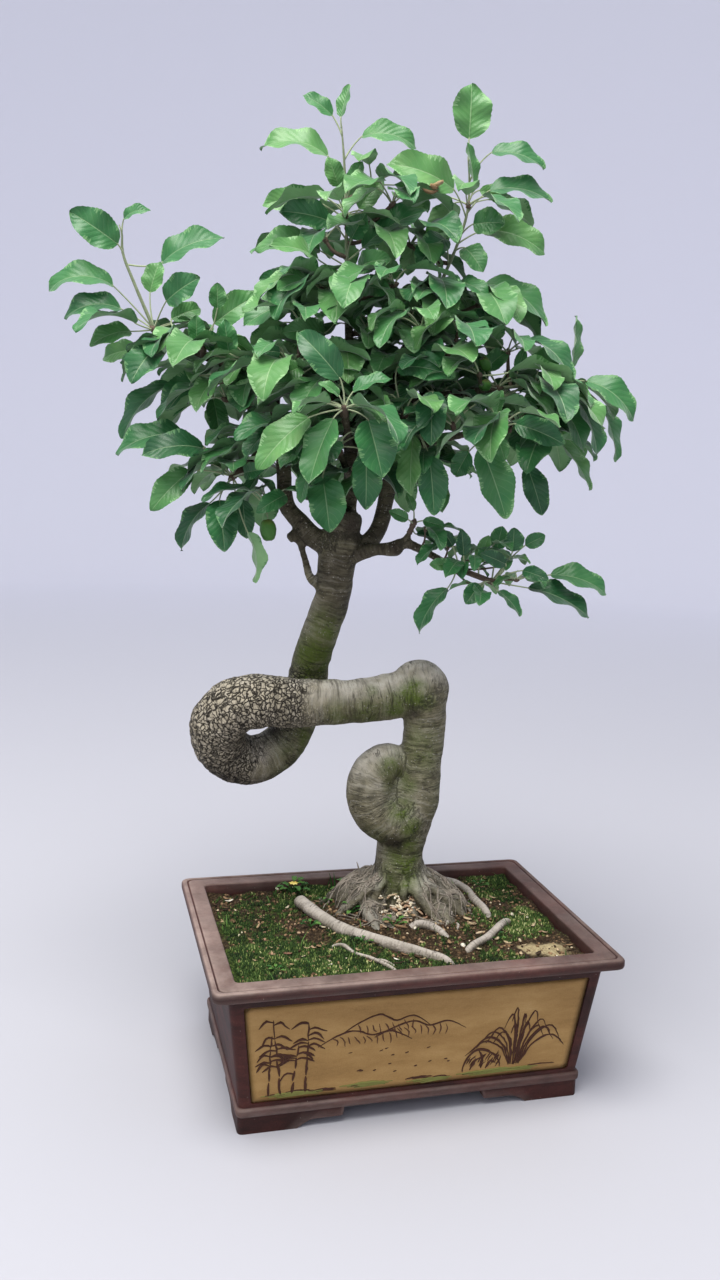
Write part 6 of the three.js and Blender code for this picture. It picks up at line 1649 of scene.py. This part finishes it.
def make_pot():
    foot_x = (BODY_TOP_LENGTH - 2 * BODY_TAPER) / 2 + MOULDING_OUT
    foot_y = (BODY_TOP_WIDTH - 2 * BODY_TAPER) / 2 + MOULDING_OUT
    # The wall's outline from the foot, over the rim and down the well: inset from the rim's side, corner's
    # radius, height and wear
    foot_inset = RIM_LENGTH / 2 - foot_x
    body_inset = foot_inset + MOULDING_OUT
    profile = [
        (foot_inset + 5, 5, 19, 0), (foot_inset + 1.4, 6, 19.1, 0.3), (foot_inset + 0.3, 7, 20.4, 0.5),
        (foot_inset, 7, 22.5, 0.35), (foot_inset, 7, 25.5, 0.25), (foot_inset + 0.4, 7, 27.6, 0.5),
        (foot_inset + 1.6, 7, 28.8, 0.35), (body_inset - 0.2, 7, 29.2, 0), (body_inset, 7, 30, 0),
        *[(body_inset + (BODY_INSET - body_inset) * i / 9, 7, 30 + 131.4 * i / 9, 0) for i in range(1, 10)],
        (BODY_INSET - 1.2, 7, 162, 0), (4.5, 8, 162, 0.1), (2, 8.6, 162.5, 0.2), (0.6, 9, 163.6, 0.3),
        (0, 9, 165.4, 0.15), (0, 9, 168, 0.05), (0, 9, 170.6, 0.15), (0.5, 9, 172.4, 0.4),
        (1.7, 8.6, 173.6, 0.9), (3.4, 8, 174, 0.8), (5.6, 7.8, 173.8, 0.8), (6.6, 7.6, 172.5, 0),
        (7.4, 7.6, 172.5, 0), (8.4, 7.4, 173.4, 0.8), (10, 7.3, 173.5, 0.7), (16, 6.8, 173.4, 0.62),
        (22, 6.4, 173.4, 0.6), (24, 6.2, 173.5, 0.6), (25.2, 6, 173.1, 0.6), (25.8, 6, 172.2, 0.4),
        (26, 6, 171, 0.2), (26 + 0.1 * BODY_TAPER, 6, 158, 0), (26 + BODY_TAPER, 6, FLOOR_TOP, 0),
    ]
    half_x, half_y = RIM_LENGTH / 2, RIM_WIDTH / 2
    rings = np.array([ring_points(half_x - i, half_y - i, corner, z) for i, corner, z, _ in profile])
    wear = np.array([row[3] for row in profile])[:, None] * (0.74 - 0.3 * rings[..., 0] / RIM_LENGTH * 2)
    heap = Heap()
    heap.lay(rings, rings, wear)
    shell = bmesh.new()
    shell.from_mesh(heap.mesh("shell"))
    base = linked("shell", closed(shell, "shell"))

    feet = prism(ring_points(foot_x - 2, foot_y - 2, 6, 0)[:-1], UP, FOOT_HEIGHT + 1)
    hollow = ring_points(foot_x - FOOT_THICKNESS, foot_y - FOOT_THICKNESS, 6, -1)[:-1]
    gaps = [prism(hollow, UP, FOOT_HEIGHT + 1), foot_opening(2 * foot_x, True)]
    gaps.append(foot_opening(2 * foot_y + 40, False))
    footing = linked("footing", joined_solid("footing", feet, [], gaps))
    holes = [panel_recess(side) for side in (-1, 1)]
    for x in (-DRAIN_HOLE_X, DRAIN_HOLE_X):
        turn = np.linspace(0, 2 * pi, 33)[:-1]
        edge = [(x + DRAIN_HOLE_RADIUS * cos(a), DRAIN_HOLE_RADIUS * sin(a), -2) for a in turn]
        holes.append(prism(edge, UP, 80))
    mesh = joined_solid("stoneware_pot", base, [footing], holes)
    mesh.polygons.foreach_set("use_smooth", [True] * len(mesh.polygons))
    pot = finish_piece("stoneware_pot", mesh, [stoneware], "pot")
    # Clay edges are softened by wiping; a bevel of under a millimetre
    soft = pot.modifiers.new("wiped edges", "BEVEL")
    soft.width, soft.segments, soft.limit_method, soft.angle_limit = 0.9 * MM, 2, "ANGLE", radians(40)
    soft.harden_normals = False


def panel_sheet(heap, side):
    """The slip coat on a panel: a thin skin that fills the recess, its edge closed."""
    columns, rows = 44, 16
    across = np.linspace(-1, 1, columns + 1)
    around = np.concatenate([across, across[-2::-1]])
    face = np.concatenate([np.ones(columns + 1), -np.ones(columns)])
    face[[0, columns, -1]] = 0
    up = np.linspace(0, 1, rows + 1)
    points = np.zeros((rows + 1, len(around), 3))
    for j, share in enumerate(up):
        z = PANEL_LOW + 0.3 + (PANEL_HIGH - PANEL_LOW - 0.6) * share
        for i, x in enumerate(around):
            thick = 0.35 * face[i] * (0 < j < rows)
            points[j, i] = panel_point(x * (PANEL_LENGTH / 2 - 0.3), z, side, PANEL_DEPTH - 0.15 - thick)
    heap.lay(points, points * 0.1, 0.0)


def stroke(heap, side, points, width, slot=0, tint=0.5):
    """A drawn line of slip: a low ridge of uneven width that thins out at its ends."""
    points = np.array(points, float)
    count = max(5, round(float(steps_along(points)[-1]) / 3.5))
    flat = course_points([[x, 0, z] for x, z in points], count)
    spread = np.sin(pi * np.linspace(0.06, 0.97, count + 1)) ** 0.5
    rough = noise_of(flat + [0, 40 * width, 0], 7, 1.0, 2)
    ridge = [panel_point(x + r, z + 0.6 * r, side, PANEL_DEPTH - 0.5) for (x, _, z), r in zip(flat, rough)]
    lay_tube(heap, np.array(ridge), width / 2 * spread * (1 + 0.45 * rough), 6, tint, slot)


def make_panel_drawing():
    """A plain scene of our own: bamboo on the left, far hills, and an orchid clump by a rock on the right."""
    coat, lines = Heap(), Heap()
    for side in (-1, 1):
        panel_sheet(coat, side)
        draw = draw_from(70 + side)

        def near(x, z, spread=1.5):
            return x + spread * (next(draw) - 0.5), z + spread * (next(draw) - 0.5)

        def line(points, *look):
            stroke(lines, side, points, *look)

        for x, lean, tall in ((-160, 7, 74), (-147, -4, 92), (-136, 9, 60), (-121, 5, 84)):
            for knot in range(4):
                low, high = 40 + tall * knot / 4, 40 + tall * (knot + 1) / 4 - 2
                cane = [near(x + lean * knot / 4, low), near(x + lean * (knot + 1) / 4, high)]
                line(cane, 3.4 - 0.5 * knot)
            for number in range(8):
                share, way = 0.3 + 0.7 * next(draw), 1 if number % 2 else -1
                at = x + lean * share, 40 + tall * share
                line([at, near(at[0] + 7 * way, at[1] + 2), near(at[0] + 17 * way, at[1] - 5, 6)], 2.6)
        base = (112, 46)
        for number in range(17):
            lean = -1 + 2 * number / 16 + 0.14 * (next(draw) - 0.5)
            reach, tall = 52 * lean, (72 - 34 * abs(lean)) * (0.75 + 0.4 * next(draw))
            start = base[0] + 6 * lean, base[1] + 2 * next(draw)
            bow = [(0, 0), (0.25, 0.7), (0.62, 0.98), (1, 0.8 - 0.3 * abs(lean))]
            line([(start[0] + out * reach, start[1] + up * tall) for out, up in bow], 1.8 + next(draw))
        for rock in ([(52, 44), (56, 60), (67, 70), (82, 66), (92, 55), (96, 45)],
                     [(62, 45), (66, 56), (76, 60)], [(80, 45), (84, 54), (90, 50)],
                     [(70, 68), (74, 58), (73, 48)]):
            line([near(*point) for point in rock], 3.0)
        for number in range(22):
            x, z = 56 + 36 * next(draw), 45 + 14 * next(draw)
            line([(x, z), near(x + 2, z + 5), near(x + 5, z + 9, 3)], 1.5)
        for z, shift, tall in ((112, 0, 13), (105, 36, 10), (100, -24, 8)):
            hill = [(-84, -8), (-62, 0.5 * tall), (-44, tall), (-26, 0.3 * tall), (-8, 0.6 * tall), (16, -7)]
            line([near(x + shift, z + up, 3) for x, up in hill], 2.0)
            for number in range(9):
                x = -66 + shift + 7 * number
                line([near(x, z + 2, 4), near(x + 3, z - 4, 3), near(x + 4, z - 9, 4)], 1.5, 0, 0.7)
        for number in range(26):
            x, z = -168 + 330 * next(draw), 38 + 5 * next(draw)
            line([(x, z), (x + 9, z + 1.2), near(x + 18 + 12 * next(draw), z)], 1.6)
        for number in range(16):
            x, z = -90 + 150 * next(draw), 50 + 34 * next(draw)
            line([(x, z), near(x + 4, z + 1)], 1.4)
        for x, z, run in ((-168, 40, 70), (-84, 42, 58), (-10, 39, 52), (46, 41, 96)):
            for number in range(3):
                at = x + 8 * number, z - 1.6 * number
                ground = [at, (at[0] + 0.5 * run, at[1] + 1.5), (at[0] + run - 12 * number, at[1])]
                line(ground, 2.4, 1, 0.4)
    finish_piece("ochre_slip_panels", coat, [slip])
    finish_piece("slip_line_drawing", lines, [iron_line, green_wash])


# Young apples, turned about their own axes, each with its stalk and withered calyx

APPLE_PROFILE = [(0, -0.84), (0.2, -0.9), (0.4, -1), (0.66, -0.86), (0.88, -0.46), (1, 0.05), (0.93, 0.42),
                 (0.76, 0.74), (0.5, 0.96), (0.28, 0.98), (0.12, 0.86), (0, 0.8)]


def turned(profile, steps, merge):
    """A round form of smooth faces, turned from its outline about the upright."""
    form = bmesh.new()
    verts = [form.verts.new((x, 0, z)) for x, z in profile]
    edges = [form.edges.new(pair) for pair in zip(verts, verts[1:])]
    bmesh.ops.spin(form, geom=[*verts, *edges], axis=(0, 0, 1), cent=(0, 0, 0), steps=steps, angle=2 * pi,
                   use_merge=True)
    bmesh.ops.remove_doubles(form, verts=form.verts, dist=merge)
    bmesh.ops.recalc_face_normals(form, faces=form.faces)
    for face in form.faces:
        face.smooth = True
    return form


def make_fruit(name, fruit):
    at, (radius, tall), spray = fruit
    centre, heart = place(*at), place(*ROSETTES[spray][0])
    way = unit(heart - centre)
    body = turned([(x * radius, z * tall) for x, z in APPLE_PROFILE], 28, 1e-4)
    turn = UP_VECTOR.rotation_difference(Vector(way)).to_matrix()
    for vert in body.verts:
        bulge = 1 + 0.02 * sin(5 * math.atan2(vert.co.y, vert.co.x))
        vert.co = in_row(np.array(turn @ Vector((vert.co.x * bulge, vert.co.y * bulge, vert.co.z))) + centre)
    skin = mesh_of(body, "skin")
    mark(skin, "tint", [0.35 + 0.45 * max(0.0, float(vert.normal.z)) for vert in skin.vertices])
    heap = Heap()
    stalk = course_points([centre + way * 0.6 * tall, centre + (heart - centre) * 0.6 + [0.8, 0, 0],
                           heart - way * 4.6], 7)
    lay_tube(heap, stalk, [0.75, 0.7, 0.65, 0.65, 0.65, 0.7, 0.85, 1.0], 7, 0.5, 1)
    side = unit(np.cross(way, [0.2, 1, 0.1]))
    for number in range(5):
        angle = 2 * pi * number / 5
        out = side * cos(angle) + np.cross(way, side) * sin(angle)
        foot = centre - way * tall * 0.86 + out * 0.1 * radius
        sepal = [foot, foot + out * 1.2 - way * 1.4, foot + out * 2.4 - way * 1.8]
        lay_tube(heap, sepal, [0.8, 0.6, 0.15], 5, 0.2, 1)
    whole = bmesh.new()
    whole.from_mesh(heap.mesh("trim"))
    whole.from_mesh(skin)
    young = f"young_{name}"
    finish_piece(young, mesh_of(whole, young), [apple_skin, green_stem], name)


# Camera at the photograph's place, plain floor and soft studio light

IMAGE_HEIGHT = 1280
FOCAL_PIXELS = 1100
EYE = np.array([-362.0, -1164.0, 694.0])
YAW, PITCH, ROLL = (radians(angle) for angle in (15.12, 9.09, 2.22))


def make_camera():
    ahead = np.array([sin(YAW) * cos(PITCH), cos(YAW) * cos(PITCH), -sin(PITCH)])
    right = np.array([cos(YAW), -sin(YAW), 0])
    above = np.cross(right, ahead)
    right, above = right * cos(ROLL) + above * sin(ROLL), above * cos(ROLL) - right * sin(ROLL)
    lens = bpy.data.cameras.new("camera")
    lens.sensor_fit, lens.sensor_height = "VERTICAL", 36
    lens.lens = lens.sensor_height * FOCAL_PIXELS / IMAGE_HEIGHT
    lens.clip_end = 60
    camera = linked("camera", lens)
    turn = np.eye(4)
    turn[:3, 0], turn[:3, 1], turn[:3, 2], turn[:3, 3] = right, above, -ahead, in_row(EYE)
    camera.matrix_world = Matrix(turn.tolist())
    bpy.context.scene.camera = camera


def make_light(name, place_at, aim, size, power, shade):
    lamp = bpy.data.lights.new(name, "AREA")
    lamp.size, lamp.energy, lamp.color = size, power, hue(shade)[:3]
    holder = linked(name, lamp)
    holder.location = place_at
    holder.rotation_euler = (Vector(aim) - Vector(place_at)).to_track_quat("-Z", "Y").to_euler()


def make_stage():
    """A pale floor that turns up into a wall all round, far from the tree, with no corner to see."""
    bend = [(4.6 + 1.6 * sin(a), 1.6 - 1.6 * cos(a)) for a in np.linspace(0, pi / 2, 9)]
    cove = turned([(0, 0), (2.2, 0), *bend, (6.2, 4.2)], 64, 1e-5)
    bmesh.ops.reverse_faces(cove, faces=cove.faces)
    stage = linked("studio_floor", mesh_of(cove, "studio_floor"))
    floor = Surface("matt_studio_floor", 0.9, 1.45, 0.1)
    # Mid grey about the pot, paler towards the wall as painted light, since the lamps light the wall less than
    # the floor
    away = floor.add("VectorMath LENGTH", floor.add("TexCoord", out="Object"), out="Value")
    share = floor.add("Math DIVIDE", away, 8.0)
    tone = floor.add("ValToRGB", share, stops=[(0.03, "#b4b4bb"), (0.2, "#c6c6ce"), (0.6, "#eeeef8")])
    floor.tree.links.new(tone, floor.shader.inputs["Base Color"])
    stage.data.materials.append(floor.material)
    world = bpy.data.worlds.new("pale_studio")
    world.use_nodes = True
    sky = world.node_tree.nodes["Background"]
    sky.inputs["Color"].default_value = hue("#eef1f7")
    sky.inputs["Strength"].default_value = 0.72
    bpy.context.scene.world = world
    make_light("overhead_softbox", (-0.6, -0.75, 2.9), (0, 0, 0.45), 1.7, 110, "#fffdf8")
    make_light("front_fill", (-1.8, -2.6, 1.9), (0, 0, 0.5), 2.0, 16, "#ffffff")
    bpy.context.scene.view_settings.view_transform = "Standard"


make_camera()
make_stage()
make_sprays()
make_trunk()
for root, rows in SURFACE_ROOTS.items():
    make_root(f"weathered_{root}", [rows], root)
make_root("weathered_fine_roots", FINE_ROOTS)
make_soil()
make_moss()
make_litter()
make_weeds()
make_pot()
make_panel_drawing()
for name, fruit in FRUITS.items():
    make_fruit(name, fruit)
for name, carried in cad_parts.items():
    if name.startswith("drain_mesh"):
        carried.data.materials.clear()
        carried.data.materials.append(moulded_mesh)
